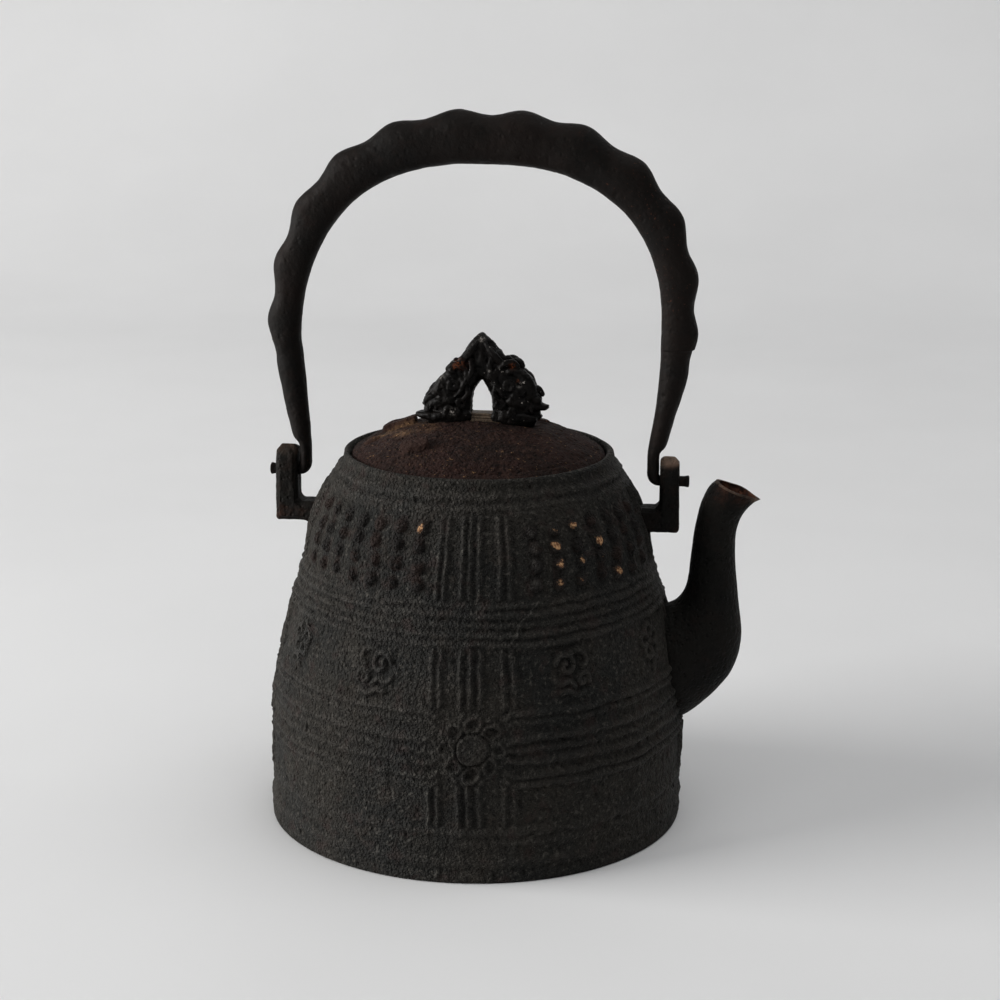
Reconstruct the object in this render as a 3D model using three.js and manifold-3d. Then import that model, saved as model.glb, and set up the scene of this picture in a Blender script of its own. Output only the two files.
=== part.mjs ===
// Cast iron kettle of the tetsubin kind: bell-shaped body with cast-in spout and bail lugs, a swinging
// arched bail, and a domed lid with a twin-headed knob riveted through it.
// Millimetres, +Z up. The origin is the centre of the base, on the surface that the kettle stands on.
// The spout points along +X, and the bail swings about an axis along X.

import * as THREE from "three";
import { mergeVertices } from "three/addons/utils/BufferGeometryUtils.js";
import Module from "manifold-3d";

const wasm = await Module();
wasm.setup();

// Fits
const GAP = 0.3; // between pieces that touch or are cast into one another
const PEG_CLEARANCE = 0.35; // round a bail peg in its lug
const LID_CLEARANCE = 0.4; // round the lid in its recess, and round its collar in the mouth

// Body
const BODY_HEIGHT = 125.5; // base to rim
const BASE_RADIUS = 70.6; // at the foot band
const BODY_WALL = 4;
const FLOOR_THICKNESS = 4;
const RIM_WIDTH = 1.9; // lip left standing round the lid's recess
const LEDGE_WIDTH = 5; // what the lid rests on
const LEDGE_THICKNESS = 3.4;

// Lid
const LID_RADIUS = 42.4;
const LID_EDGE = 2.7; // thickness at the edge
const LID_RISE = 11; // dome height above its edge
const LID_THICKNESS = 3;
const LID_SUNK = 1.1; // how far the lid's edge lies below the rim
const COLLAR_DEPTH = 6;
const COLLAR_WALL = 3;

// Knob, seat and washers
const KNOB_OFFSET = 1.3; // the knob stands this far off the lid's centre
const KNOB_HEIGHT = 27.2;
const KNOB_HALF_WIDTH = 22.3;
const KNOB_DEPTH = 15;
const KNOB_HOLE_HALF_WIDTH = 4.4;
const KNOB_HOLE_HEIGHT = 11.6;
const KNOB_FOOT = 1.4; // how far the two chins hang below the seat's top
const SEAT_HALF_LENGTH = 13;
const SEAT_HALF_DEPTH = 3.4;
const SEAT_STEP = 0.7; // height of each of its two steps
const TENON_RADIUS = 1.5;
const TENON_SPACING = 15;
const PEEN_RADIUS = 2.5;
const PEEN_HEIGHT = 1.4;
const WASHER_RADIUS = 4;
const WASHER_THICKNESS = 1.2;

// Lugs
const LUG_DROP = 22.7; // rim down to the middle of the arms
const LUG_BAR = 7; // bar size across the bend
const LUG_DEPTH = 9; // bar size along Y
const LUG_BEVEL = 1.1;
const LUG_REACH = 4; // clear space between the wall and the upright
const LUG_HEIGHT = 21.6; // middle of the arm up to the top of the upright
const LUG_TENON = 2; // how deep an arm is cast into the wall
const PIVOT_BELOW_TOP = 8.1; // bail axis below the upright's top

// Bail
const PEG_RADIUS = 1.75;
const PEG_PROUD = 2.7; // past the upright's outer face
const EYE_THICKNESS = 4; // of the leg where it lies against its lug
const EYE_DEPTH = 7.4; // along Y, there
const ARCH_BASE = 43.7; // bail axis up to the middle of the arch's curve
const ARCH_HEIGHT = 60.5; // inside the arch, above that
const ARCH_SQUARENESS = 2.45; // 2 is an ellipse
const ARCH_LEAN = 1; // the hand-worked arch stands this far towards the spout
const CROWN_THICKNESS = 16.3;
const SHOULDER_THICKNESS = 9.8; // where the arch meets its legs
const CROWN_DEPTH = 14;
const SHOULDER_DEPTH = 10;
const SCALLOP_PITCH = THREE.MathUtils.degToRad(15.3);
const SCALLOP_DEPTH = 0.95;

// Spout
const SPOUT_ROOT_LOW = 35; // lowest and highest points where it leaves the wall
const SPOUT_ROOT_HIGH = 74;
const SPOUT_WALL = 2.8;
const NECK_WIDTH = 14;
const NECK_CLEARANCE = 4.5; // between the neck and the lug beside it
const SPOUT_MOUTH_DROP = 8.4; // rim down to the mouth's highest point
const SPOUT_ROOT_DEPTH = 26.6; // along Y, at the wall
const NECK_DEPTH = 14.4; // along Y

// Worked out from the sizes above
const RIM_RADIUS = LID_RADIUS + LID_CLEARANCE + RIM_WIDTH;
const LEDGE_TOP = BODY_HEIGHT - LID_SUNK - LID_EDGE - GAP;
const MOUTH_RADIUS = LID_RADIUS + LID_CLEARANCE - LEDGE_WIDTH;
const LID_BOTTOM = LEDGE_TOP + GAP;
const LID_EDGE_TOP = LID_BOTTOM + LID_EDGE;
const LUG_Z = BODY_HEIGHT - LUG_DROP;
const PIVOT_Z = LUG_Z + LUG_HEIGHT - PIVOT_BELOW_TOP;
const SEAT_BOTTOM = LID_EDGE_TOP + LID_RISE + GAP;
const KNOB_BOTTOM = SEAT_BOTTOM + 2 * SEAT_STEP + GAP;
const BEND_RADIUS = EYE_THICKNESS / 2 + GAP; // middle of the leg, turning into its lug's bore

// How round each surface is made
const BODY_SIDES = 48;
const TUBE_SIDES = 12;
const HOLE_SIDES = 16;

// The bell's side: height as a share of the body's, and where the wall stands between rim (0) and foot (1)
const BELL = [
  [0.16, 1],
  [0.26, 0.995],
  [0.36, 0.955],
  [0.46, 0.885],
  [0.56, 0.775],
  [0.65, 0.65],
  [0.73, 0.55],
  [0.8, 0.49],
  [0.85, 0.4],
  [0.9, 0.29],
  [0.94, 0.17],
  [0.97, 0.075],
  [1, 0],
];

const point = (x, y) => new THREE.Vector2(x, y);

function material(color, roughness, metalness) {
  return new THREE.MeshStandardMaterial({ color, roughness, metalness });
}

const SAND_CAST = material(0x2b2825, 0.78, 0.7);
const SMOOTH_CAST = material(0x26221f, 0.62, 0.75);
const FORGED = material(0x2a221e, 0.55, 0.8);
const LID_IRON = material(0x33241f, 0.7, 0.7);
const DARK_CAST = material(0x17120f, 0.4, 0.8);
const WORN_BRASS = material(0x5a4632, 0.5, 0.85);

// Three.js geometry to manifold solid, and back
function solid(geometry) {
  const bare = geometry.index ? geometry.toNonIndexed() : geometry.clone();
  bare.deleteAttribute("normal");
  bare.deleteAttribute("uv");
  const merged = mergeVertices(bare, 1e-4);
  const vertProperties = merged.attributes.position.array;
  const triVerts = new Uint32Array(merged.index.array);
  return new wasm.Manifold(new wasm.Mesh({ numProp: 3, vertProperties, triVerts }));
}

function geometryOf(made) {
  const { vertProperties, triVerts } = made.getMesh();
  const geometry = new THREE.BufferGeometry();
  geometry.setAttribute("position", new THREE.BufferAttribute(vertProperties, 3));
  geometry.setIndex(new THREE.BufferAttribute(triVerts, 1));
  return geometry;
}

function piece(name, made, finish) {
  const mesh = new THREE.Mesh(geometryOf(made), finish);
  mesh.name = name;
  return mesh;
}

// A solid of revolution about Z, from [radius, height] points
function turned(profile, sides = BODY_SIDES) {
  const points = profile.map(([radius, height]) => point(radius, height));
  return solid(new THREE.LatheGeometry(points, sides).rotateX(Math.PI / 2));
}

// A straight bar along Z of an outline in X and Y
function bar(outline, height, options = {}) {
  const settings = { depth: height, bevelEnabled: false, curveSegments: 6, ...options };
  return new THREE.ExtrudeGeometry(outline, settings);
}

function rod(radius, length, sides = HOLE_SIDES) {
  return new THREE.CylinderGeometry(radius, radius, length, sides);
}

// A closed body through oval sections that stand across the XZ plane. Each station has two edge points,
// right and left of the way the stations run, and a depth along Y.
function loft(stations, sides = TUBE_SIDES) {
  const last = stations.length - 1;
  const tube = new THREE.CylinderGeometry(1, 1, 1, sides, last);
  const vertices = tube.attributes.position;
  for (let i = 0; i < vertices.count; i++) {
    const station = stations[Math.round((vertices.getY(i) + 0.5) * last)];
    const share = (vertices.getX(i) + 1) / 2;
    const place = station.right.clone().lerp(station.left, share);
    vertices.setXYZ(i, place.x, (vertices.getZ(i) * station.depth) / 2, place.y);
  }
  return solid(tube);
}

// Stations on smooth curves through a few given ones
function smooth(stations, steps) {
  const right = new THREE.SplineCurve(stations.map((station) => station.right));
  const left = new THREE.SplineCurve(stations.map((station) => station.left));
  const depth = new THREE.SplineCurve(stations.map((station, i) => point(i, station.depth)));
  return Array.from({ length: steps + 1 }, (_, i) => ({
    right: right.getPoint(i / steps),
    left: left.getPoint(i / steps),
    depth: depth.getPoint(i / steps).y,
  }));
}

// The same stations with both edges drawn in by a wall, or moved out where it is negative
function inset(stations, wall) {
  const leftOf = (edge, i) => {
    const before = stations[Math.max(i - 1, 0)][edge];
    const after = stations[Math.min(i + 1, stations.length - 1)][edge];
    const along = after.clone().sub(before).normalize();
    return point(-along.y, along.x);
  };
  return stations.map(({ right, left, depth }, i) => ({
    right: right.clone().addScaledVector(leftOf("right", i), wall),
    left: left.clone().addScaledVector(leftOf("left", i), -wall),
    depth: depth - 2 * wall,
  }));
}

// Body

const bellCurve = new THREE.SplineCurve(
  BELL.map(([share, spread]) =>
    point(RIM_RADIUS + (BASE_RADIUS - RIM_RADIUS) * spread, share * BODY_HEIGHT),
  ),
);
const BELL_POINTS = bellCurve.getPoints(22);

function wallRadius(height) {
  const upper = BELL_POINTS.findIndex((at) => at.y >= height);
  if (upper < 1) return BASE_RADIUS;
  const [below, above] = [BELL_POINTS[upper - 1], BELL_POINTS[upper]];
  const share = (height - below.y) / (above.y - below.y);
  return below.x + (above.x - below.x) * share;
}

// The bell's outside as [radius, height] points, drawn in by some depth
function bellProfile(depth) {
  const foot = [
    [BASE_RADIUS - 1.6, 0],
    [BASE_RADIUS - 0.3, 1.3],
    [BASE_RADIUS, 4.5],
    [BASE_RADIUS, 11],
  ];
  const side = BELL_POINTS.map((at) => [at.x, at.y]);
  return [...foot, ...side].map(([radius, height]) => [radius - depth, height]);
}

function bellSolid(depth) {
  return turned([[0, 0], ...bellProfile(depth), [0, BODY_HEIGHT]]);
}

function bodyShell(cutters) {
  const ledgeBottom = LEDGE_TOP - LEDGE_THICKNESS;
  const cavityTop = ledgeBottom - 3;
  const cavity = bellProfile(BODY_WALL)
    .filter(([, height]) => height > FLOOR_THICKNESS + 3 && height < cavityTop)
    .reverse();
  const recessRadius = LID_RADIUS + LID_CLEARANCE;
  const shell = turned([
    [0, 0],
    ...bellProfile(0),
    [recessRadius, BODY_HEIGHT],
    [recessRadius, LEDGE_TOP],
    [MOUTH_RADIUS, LEDGE_TOP],
    [MOUTH_RADIUS, ledgeBottom],
    [wallRadius(cavityTop) - BODY_WALL, cavityTop],
    ...cavity,
    [BASE_RADIUS - BODY_WALL - 3, FLOOR_THICKNESS],
    [0, FLOOR_THICKNESS],
  ]);
  return cutters.reduce((left, cutter) => left.subtract(cutter), shell);
}

// Lugs: an arm cast into the wall, bent up into a bored post with a rounded top. Made for the +X side.

const POST_INNER = wallRadius(LUG_Z) + LUG_REACH;
const POST_OUTER = POST_INNER + LUG_BAR;

function lugBar(grow) {
  const half = LUG_BAR / 2 + grow;
  const root = wallRadius(LUG_Z) - BODY_WALL - LUG_BAR;
  const top = LUG_Z + LUG_HEIGHT;
  const outline = new THREE.Shape([
    point(root, LUG_Z - half),
    point(POST_OUTER - LUG_BEVEL, LUG_Z - half),
    point(POST_OUTER, LUG_Z - half + LUG_BEVEL),
    point(POST_OUTER, top - 2 * LUG_BEVEL),
    point(POST_OUTER - 1.5 * LUG_BEVEL, top),
    point(POST_INNER, top),
    point(POST_INNER, LUG_Z + half + LUG_BEVEL),
    point(POST_INNER - LUG_BEVEL, LUG_Z + half),
    point(root, LUG_Z + half),
  ]);
  const flat = LUG_DEPTH - 2 * LUG_BEVEL + 2 * grow;
  const bevel = { bevelEnabled: true, bevelSize: LUG_BEVEL, bevelOffset: -LUG_BEVEL };
  const extruded = bar(outline, flat, { ...bevel, bevelThickness: LUG_BEVEL, bevelSegments: 1 });
  return solid(extruded.translate(0, 0, -flat / 2).rotateX(Math.PI / 2));
}

function lug() {
  const top = LUG_Z + LUG_HEIGHT;
  const radius = LUG_DEPTH / 2;
  const low = LUG_Z - LUG_BAR;
  const side = new THREE.Shape();
  side.moveTo(-radius, low);
  side.lineTo(radius, low);
  side.lineTo(radius, top - radius);
  side.absarc(0, top - radius, radius, 0, Math.PI);
  side.lineTo(-radius, low);
  const rounded = solid(bar(side, 2 * POST_OUTER).rotateX(Math.PI / 2).rotateZ(Math.PI / 2));
  const bore = solid(rod(PEG_RADIUS + PEG_CLEARANCE, 2 * LUG_BAR).rotateZ(Math.PI / 2))
    .translate(POST_INNER + LUG_BAR / 2, 0, PIVOT_Z);
  return lugBar(0).intersect(rounded).subtract(bore).subtract(bellSolid(LUG_TENON));
}

function lugPocket() {
  return lugBar(GAP).subtract(bellSolid(LUG_TENON + GAP));
}

const otherSide = (made) => made.rotate(0, 0, 180);

// Spout: its stations run from inside the wall out to the mouth, with the lower or outer edge on the right

const NECK_INNER = POST_OUTER + NECK_CLEARANCE;
const NECK_OUTER = NECK_INNER + NECK_WIDTH;
const MOUTH_HIGH = BODY_HEIGHT - SPOUT_MOUTH_DROP;
const MOUTH_LOW = MOUTH_HIGH - 5.3;

function spoutStations() {
  const low = wallRadius(SPOUT_ROOT_LOW);
  const high = wallRadius(SPOUT_ROOT_HIGH);
  const between = (share) => THREE.MathUtils.lerp(high, NECK_INNER, share);
  const station = (right, left, depth) => ({ right: point(...right), left: point(...left), depth });
  return smooth(
    [
      station([low - 10, SPOUT_ROOT_LOW + 2], [high - 10, SPOUT_ROOT_HIGH - 4], SPOUT_ROOT_DEPTH - 2),
      station([low - 0.5, SPOUT_ROOT_LOW], [high, SPOUT_ROOT_HIGH], SPOUT_ROOT_DEPTH),
      station([NECK_OUTER - 7.5, SPOUT_ROOT_LOW + 6.8], [between(0.42), SPOUT_ROOT_HIGH + 2], 24.6),
      station([NECK_OUTER + 0.3, SPOUT_ROOT_LOW + 17], [between(0.73), SPOUT_ROOT_HIGH + 6], 22),
      station([NECK_OUTER + 3, SPOUT_ROOT_LOW + 28], [NECK_INNER - 1.3, SPOUT_ROOT_HIGH + 10.6], 19.6),
      station([NECK_OUTER + 1.9, SPOUT_ROOT_LOW + 39.5], [NECK_INNER - 0.9, MOUTH_HIGH - 27.9], 17.2),
      station([NECK_OUTER + 0.5, MOUTH_LOW - 25.3], [NECK_INNER - 0.5, MOUTH_HIGH - 23.6], 15.4),
      station([NECK_OUTER, MOUTH_LOW - 16.3], [NECK_INNER + 0.1, MOUTH_HIGH - 17.8], NECK_DEPTH),
      station([NECK_OUTER + 0.6, MOUTH_LOW - 10.6], [NECK_INNER + 0.9, MOUTH_HIGH - 13.1], NECK_DEPTH),
      station([NECK_OUTER + 2.4, MOUTH_LOW - 5.8], [NECK_INNER + 2.4, MOUTH_HIGH - 7.1], NECK_DEPTH),
      station([NECK_OUTER + 5.2, MOUTH_LOW - 2.8], [NECK_INNER + 4.6, MOUTH_HIGH - 2.6], NECK_DEPTH),
      station([NECK_OUTER + 7.8, MOUTH_LOW], [NECK_INNER + 6.8, MOUTH_HIGH], NECK_DEPTH - 1.2),
    ],
    22,
  );
}

// The bore starts further inside than the spout does, and runs out past the mouth
function spoutBore() {
  const bore = inset(spoutStations(), SPOUT_WALL);
  const shifted = ({ right, left, depth }, x, z) => ({
    right: right.clone().add(point(x, z)),
    left: left.clone().add(point(x, z)),
    depth,
  });
  return loft([shifted(bore[0], -6, 0), ...bore, shifted(bore.at(-1), 1, 3)]);
}

function spout() {
  return loft(spoutStations()).subtract(spoutBore()).subtract(bellSolid(BODY_WALL));
}

const spoutHole = () => loft(inset(spoutStations(), -GAP));

// Bail: from the left peg, up round the bend and the leg, over the scalloped arch, and down the other side

const LEG_INNER = POST_INNER - GAP - EYE_THICKNESS;

// The arch's inner edge: a squared-off ellipse, as a distance from its middle along a direction
function archInside(angle, halfWidth) {
  const across = Math.abs(Math.cos(angle)) / halfWidth;
  const up = Math.abs(Math.sin(angle)) / ARCH_HEIGHT;
  return (across ** ARCH_SQUARENESS + up ** ARCH_SQUARENESS) ** (-1 / ARCH_SQUARENESS);
}

function archStations() {
  const middle = point(ARCH_LEAN, PIVOT_Z + ARCH_BASE);
  const halfWidth = LEG_INNER + 3.6;
  const count = 72;
  return Array.from({ length: count + 1 }, (_, i) => {
    const angle = Math.PI * (1 - i / count);
    const crown = Math.sin(angle) ** 1.5;
    const wave = -Math.cos(((angle - Math.PI / 2) * 2 * Math.PI) / SCALLOP_PITCH);
    const thickness = THREE.MathUtils.lerp(SHOULDER_THICKNESS, CROWN_THICKNESS, crown);
    const reach = archInside(angle, halfWidth);
    const way = point(Math.cos(angle), Math.sin(angle));
    return {
      right: middle.clone().addScaledVector(way, reach),
      left: middle.clone().addScaledVector(way, reach + thickness + SCALLOP_DEPTH * wave),
      depth: THREE.MathUtils.lerp(SHOULDER_DEPTH, CROWN_DEPTH, crown),
    };
  });
}

// One leg with its bend and peg on the +X side, from the top down: [inner x, outer x, height, depth]
function legStations() {
  const eyeTop = PIVOT_Z + PIVOT_BELOW_TOP;
  const level = (inner, outer, height, depth, lean) => ({
    left: point(LEG_INNER + outer + lean, height),
    right: point(LEG_INNER + inner + lean, height),
    depth,
  });
  const leg = (lean) => [
    level(2.9, 11.7, eyeTop + 30, 9.4, lean),
    level(2.2, 10, eyeTop + 22, 8.8, lean * 0.9),
    level(1.4, 8.3, eyeTop + 14, 8.4, lean * 0.6),
    level(0.7, 7, eyeTop + 8, 8, lean * 0.4),
    level(0.2, 5.8, eyeTop + 3.6, 7.7, lean * 0.2),
    level(0, EYE_THICKNESS + 0.1, eyeTop + 0.8, EYE_DEPTH, 0),
    level(0, EYE_THICKNESS, PIVOT_Z + BEND_RADIUS + 1.5, EYE_DEPTH, 0),
  ];
  const bendX = LEG_INNER + EYE_THICKNESS / 2 + BEND_RADIUS;
  const bendZ = PIVOT_Z + BEND_RADIUS;
  const bend = [0, 0.25, 0.5, 0.75, 1].map((share) => {
    const angle = Math.PI + (share * Math.PI) / 2;
    const half = THREE.MathUtils.lerp(EYE_THICKNESS / 2, PEG_RADIUS, share);
    const at = (radius) => point(bendX + radius * Math.cos(angle), bendZ + radius * Math.sin(angle));
    const depth = THREE.MathUtils.lerp(EYE_DEPTH, 2 * PEG_RADIUS, share ** 1.5);
    return { left: at(BEND_RADIUS - half), right: at(BEND_RADIUS + half), depth };
  });
  const tip = {
    left: point(POST_OUTER + PEG_PROUD, PIVOT_Z + PEG_RADIUS),
    right: point(POST_OUTER + PEG_PROUD, PIVOT_Z - PEG_RADIUS),
    depth: 2 * PEG_RADIUS,
  };
  return (lean) => [...leg(lean), ...bend, tip];
}

function bail() {
  const down = legStations();
  const mirrored = down(-ARCH_LEAN)
    .reverse()
    .map(({ left, right, depth }) => ({
      left: point(-left.x, left.y),
      right: point(-right.x, right.y),
      depth,
    }));
  return loft([...mirrored, ...archStations(), ...down(ARCH_LEAN)], 10);
}

// Lid: a dome with a flat edge on the ledge and a collar in the mouth

const DOME_RADIUS = (LID_RADIUS ** 2 + LID_RISE ** 2) / (2 * LID_RISE);
const domeHeight = (radius) =>
  LID_EDGE_TOP + LID_RISE - DOME_RADIUS + Math.sqrt(DOME_RADIUS ** 2 - radius ** 2);

// A washer lies flat against the dome's underside at its own far edge
const washerTop = (x) => domeHeight(Math.abs(x) + WASHER_RADIUS) - LID_THICKNESS - GAP;

function tenonPlaces() {
  return [-1, 1].map((side) => KNOB_OFFSET + (side * TENON_SPACING) / 2);
}

function lid() {
  const collarOuter = MOUTH_RADIUS - LID_CLEARANCE;
  const collarInner = collarOuter - COLLAR_WALL;
  const shares = [0, 0.2, 0.4, 0.6, 0.8, 1];
  const top = shares.map((share) => [share * LID_RADIUS, domeHeight(share * LID_RADIUS)]);
  const under = shares
    .map((share) => share * collarInner)
    .reverse()
    .map((radius) => [radius, domeHeight(radius) - LID_THICKNESS]);
  const collarBottom = LID_BOTTOM - COLLAR_DEPTH;
  const dome = turned(
    [
      ...under,
      ...top,
      [LID_RADIUS, LID_BOTTOM],
      [collarOuter, LID_BOTTOM],
      [collarOuter, collarBottom],
      [collarInner, collarBottom],
      under[0],
    ].reverse(),
  );
  return tenonPlaces().reduce((left, x) => {
    const hole = rod(TENON_RADIUS + GAP, 4 * LID_THICKNESS).rotateX(Math.PI / 2);
    return left.subtract(solid(hole).translate(x, 0, domeHeight(x)));
  }, dome);
}

// Knob: two heads facing outwards under one peak, with a pointed opening between them

function knobOutline() {
  const outline = new THREE.Shape();
  const half = KNOB_HALF_WIDTH;
  const top = KNOB_HEIGHT;
  outline.moveTo(0, top);
  outline.lineTo(-2.6, top - 0.8);
  outline.lineTo(-0.4 * half, top - 7.5);
  outline.lineTo(-0.68 * half, top - 12.5);
  outline.lineTo(-0.9 * half, top - 19.5);
  outline.lineTo(-half, 2.6);
  outline.lineTo(-0.88 * half, -KNOB_FOOT + 0.4);
  outline.lineTo(-SEAT_HALF_LENGTH - GAP, -KNOB_FOOT + 0.9);
  outline.lineTo(-SEAT_HALF_LENGTH - GAP, 0);
  outline.lineTo(-KNOB_HOLE_HALF_WIDTH, 0);
  outline.quadraticCurveTo(-KNOB_HOLE_HALF_WIDTH, 0.6 * KNOB_HOLE_HEIGHT, 0, KNOB_HOLE_HEIGHT);
  outline.quadraticCurveTo(KNOB_HOLE_HALF_WIDTH, 0.6 * KNOB_HOLE_HEIGHT, KNOB_HOLE_HALF_WIDTH, 0);
  outline.lineTo(SEAT_HALF_LENGTH + GAP, 0);
  outline.lineTo(SEAT_HALF_LENGTH + GAP, -KNOB_FOOT + 0.9);
  outline.lineTo(0.88 * half, -KNOB_FOOT + 0.4);
  outline.lineTo(half, 2.6);
  outline.lineTo(0.9 * half, top - 19.5);
  outline.lineTo(0.68 * half, top - 12.5);
  outline.lineTo(0.4 * half, top - 7.5);
  outline.lineTo(2.6, top - 0.8);
  return outline;
}

function knob() {
  const bevel = 2.4;
  const flat = KNOB_DEPTH - 2 * bevel;
  const settings = { bevelEnabled: true, bevelThickness: bevel, bevelSize: 1, bevelOffset: -1 };
  const heads = bar(knobOutline(), flat, { ...settings, bevelSegments: 2 });
  const body = solid(heads.translate(0, 0, -flat / 2).rotateX(Math.PI / 2));
  const placed = body.translate(KNOB_OFFSET, 0, KNOB_BOTTOM);
  return tenonPlaces().reduce((left, x) => {
    const peenTop = washerTop(x) - WASHER_THICKNESS - GAP;
    const low = peenTop - PEEN_HEIGHT;
    const length = KNOB_BOTTOM + PEEN_HEIGHT - low;
    const tenon = solid(rod(TENON_RADIUS, length).rotateX(Math.PI / 2));
    const peen = solid(rod(PEEN_RADIUS, PEEN_HEIGHT).rotateX(Math.PI / 2));
    return left
      .add(tenon.translate(x, 0, low + length / 2))
      .add(peen.translate(x, 0, low + PEEN_HEIGHT / 2));
  }, placed);
}

// A stepped oval plate that the knob stands on
function knobSeat() {
  const step = (halfLength, halfDepth, bottom, height) => {
    const oval = new THREE.Shape();
    oval.absellipse(0, 0, halfLength, halfDepth, 0, 2 * Math.PI);
    return solid(bar(oval, height)).translate(KNOB_OFFSET, 0, bottom);
  };
  const lower = step(SEAT_HALF_LENGTH, SEAT_HALF_DEPTH, SEAT_BOTTOM, SEAT_STEP + 0.1);
  const upper = step(
    SEAT_HALF_LENGTH - 0.9,
    SEAT_HALF_DEPTH - 0.6,
    SEAT_BOTTOM + SEAT_STEP,
    SEAT_STEP,
  );
  return tenonPlaces().reduce((left, x) => {
    const hole = solid(rod(TENON_RADIUS + GAP, 6 * SEAT_STEP).rotateX(Math.PI / 2));
    return left.subtract(hole.translate(x, 0, SEAT_BOTTOM + SEAT_STEP));
  }, lower.add(upper));
}

function knobWasher(x) {
  const top = washerTop(x);
  const ring = [
    [TENON_RADIUS + GAP, top],
    [TENON_RADIUS + GAP, top - WASHER_THICKNESS],
    [WASHER_RADIUS, top - WASHER_THICKNESS],
    [WASHER_RADIUS, top],
    [TENON_RADIUS + GAP, top],
  ];
  return turned(ring, HOLE_SIDES).translate(x, 0, 0);
}

// Assembly

const kettle = new THREE.Group();
const cutters = [spoutHole(), lugPocket(), otherSide(lugPocket())];
kettle.add(piece("body_shell", bodyShell(cutters), SAND_CAST));
kettle.add(piece("spout", spout(), SMOOTH_CAST));
kettle.add(piece("lug_right", lug(), SMOOTH_CAST));
kettle.add(piece("lug_left", otherSide(lug()), SMOOTH_CAST));
kettle.add(piece("bail", bail(), FORGED));

const cover = new THREE.Group();
cover.add(piece("lid", lid(), LID_IRON));
cover.add(piece("lid_knob", knob(), DARK_CAST));
cover.add(piece("knob_seat", knobSeat(), WORN_BRASS));
tenonPlaces().forEach((x, i) => {
  cover.add(piece(["knob_washer_left", "knob_washer_right"][i], knobWasher(x), WORN_BRASS));
});
kettle.add(cover);

export default kettle;
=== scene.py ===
"""Looks for the cast iron kettle: the bell-shaped body with its cast pattern, the spout, the two lugs, the
scalloped bail, the domed lid and its twin-headed knob.

Sizes are in millimetres in the part's own frame, and MM turns them into metres where a mesh is made.
Z is up, X runs along the spout, and the origin is the middle of the base.
"""

import math

import bpy
import numpy as np
from mathutils import Matrix, Vector


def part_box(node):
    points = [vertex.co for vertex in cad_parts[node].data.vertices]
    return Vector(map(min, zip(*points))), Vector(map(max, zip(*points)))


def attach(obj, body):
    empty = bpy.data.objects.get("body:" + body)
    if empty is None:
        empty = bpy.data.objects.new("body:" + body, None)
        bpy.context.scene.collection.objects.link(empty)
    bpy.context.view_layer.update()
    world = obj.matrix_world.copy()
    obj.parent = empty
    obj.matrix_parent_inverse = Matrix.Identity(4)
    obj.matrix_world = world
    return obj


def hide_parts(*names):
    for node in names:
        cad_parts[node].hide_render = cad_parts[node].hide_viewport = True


MM = 0.001

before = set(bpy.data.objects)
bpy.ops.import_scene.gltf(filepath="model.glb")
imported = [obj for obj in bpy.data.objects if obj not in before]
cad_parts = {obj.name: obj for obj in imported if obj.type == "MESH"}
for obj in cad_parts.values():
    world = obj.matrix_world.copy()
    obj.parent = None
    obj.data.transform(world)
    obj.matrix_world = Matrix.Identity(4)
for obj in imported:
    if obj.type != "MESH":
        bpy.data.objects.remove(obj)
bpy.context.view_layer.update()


def extent(node):
    """A node's lowest and highest corners in millimetres."""
    low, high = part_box(node)
    return np.array(low) / MM, np.array(high) / MM


# ---------------------------------------------------------------- sizes

BODY_HIGH = extent("body_shell")[1]
LID_LOW, LID_HIGH = extent("lid")
KNOB_LOW, KNOB_HIGH = extent("lid_knob")
SEAT_LOW, SEAT_HIGH = extent("knob_seat")
LUG_LOW, LUG_HIGH = extent("lug_right")
SPOUT_LOW, SPOUT_HIGH = extent("spout")
BAIL_HIGH = extent("bail")[1]

BASE_RADIUS = BODY_HIGH[1]
RIM_HEIGHT = BODY_HIGH[2]
WALL = 4.0
FLOOR_THICKNESS = 4.0
RIM_WIDTH = 1.9
LEDGE_WIDTH = 5.0
LEDGE_THICKNESS = 3.4
GAP = 0.3  # between pieces that touch on the real kettle

LID_RADIUS = LID_HIGH[0]
LID_CLEARANCE = 0.4
LID_EDGE = 2.7
COLLAR_HEIGHT = 6.0
RECESS_RADIUS = LID_RADIUS + LID_CLEARANCE
RIM_RADIUS = RECESS_RADIUS + RIM_WIDTH
MOUTH_RADIUS = RECESS_RADIUS - LEDGE_WIDTH
COLLAR_BOTTOM = LID_LOW[2]
LID_BOTTOM = COLLAR_BOTTOM + COLLAR_HEIGHT
LEDGE_TOP = LID_BOTTOM - GAP
LEDGE_BOTTOM = LEDGE_TOP - LEDGE_THICKNESS
LID_EDGE_TOP = LID_BOTTOM + LID_EDGE
DOME_TOP = LID_HIGH[2]
DOME_RISE = DOME_TOP - LID_EDGE_TOP
DOME_RADIUS = (LID_RADIUS**2 + DOME_RISE**2) / (2 * DOME_RISE)
DOME_CENTRE = DOME_TOP - DOME_RADIUS

POST_OUTER = LUG_HIGH[0]
LUG_BAR = 7.0
LUG_DEPTH = LUG_HIGH[1] - LUG_LOW[1]
POST_INNER = POST_OUTER - LUG_BAR
LUG_TOP = LUG_HIGH[2]
ARM_HEIGHT = LUG_LOW[2] + LUG_BAR / 2
PIVOT_BELOW_TOP = 8.1
PIVOT_HEIGHT = LUG_TOP - PIVOT_BELOW_TOP
BORE_RADIUS = 2.1
PEG_RADIUS = 1.75

# ---------------------------------------------------------------- small tools


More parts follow.
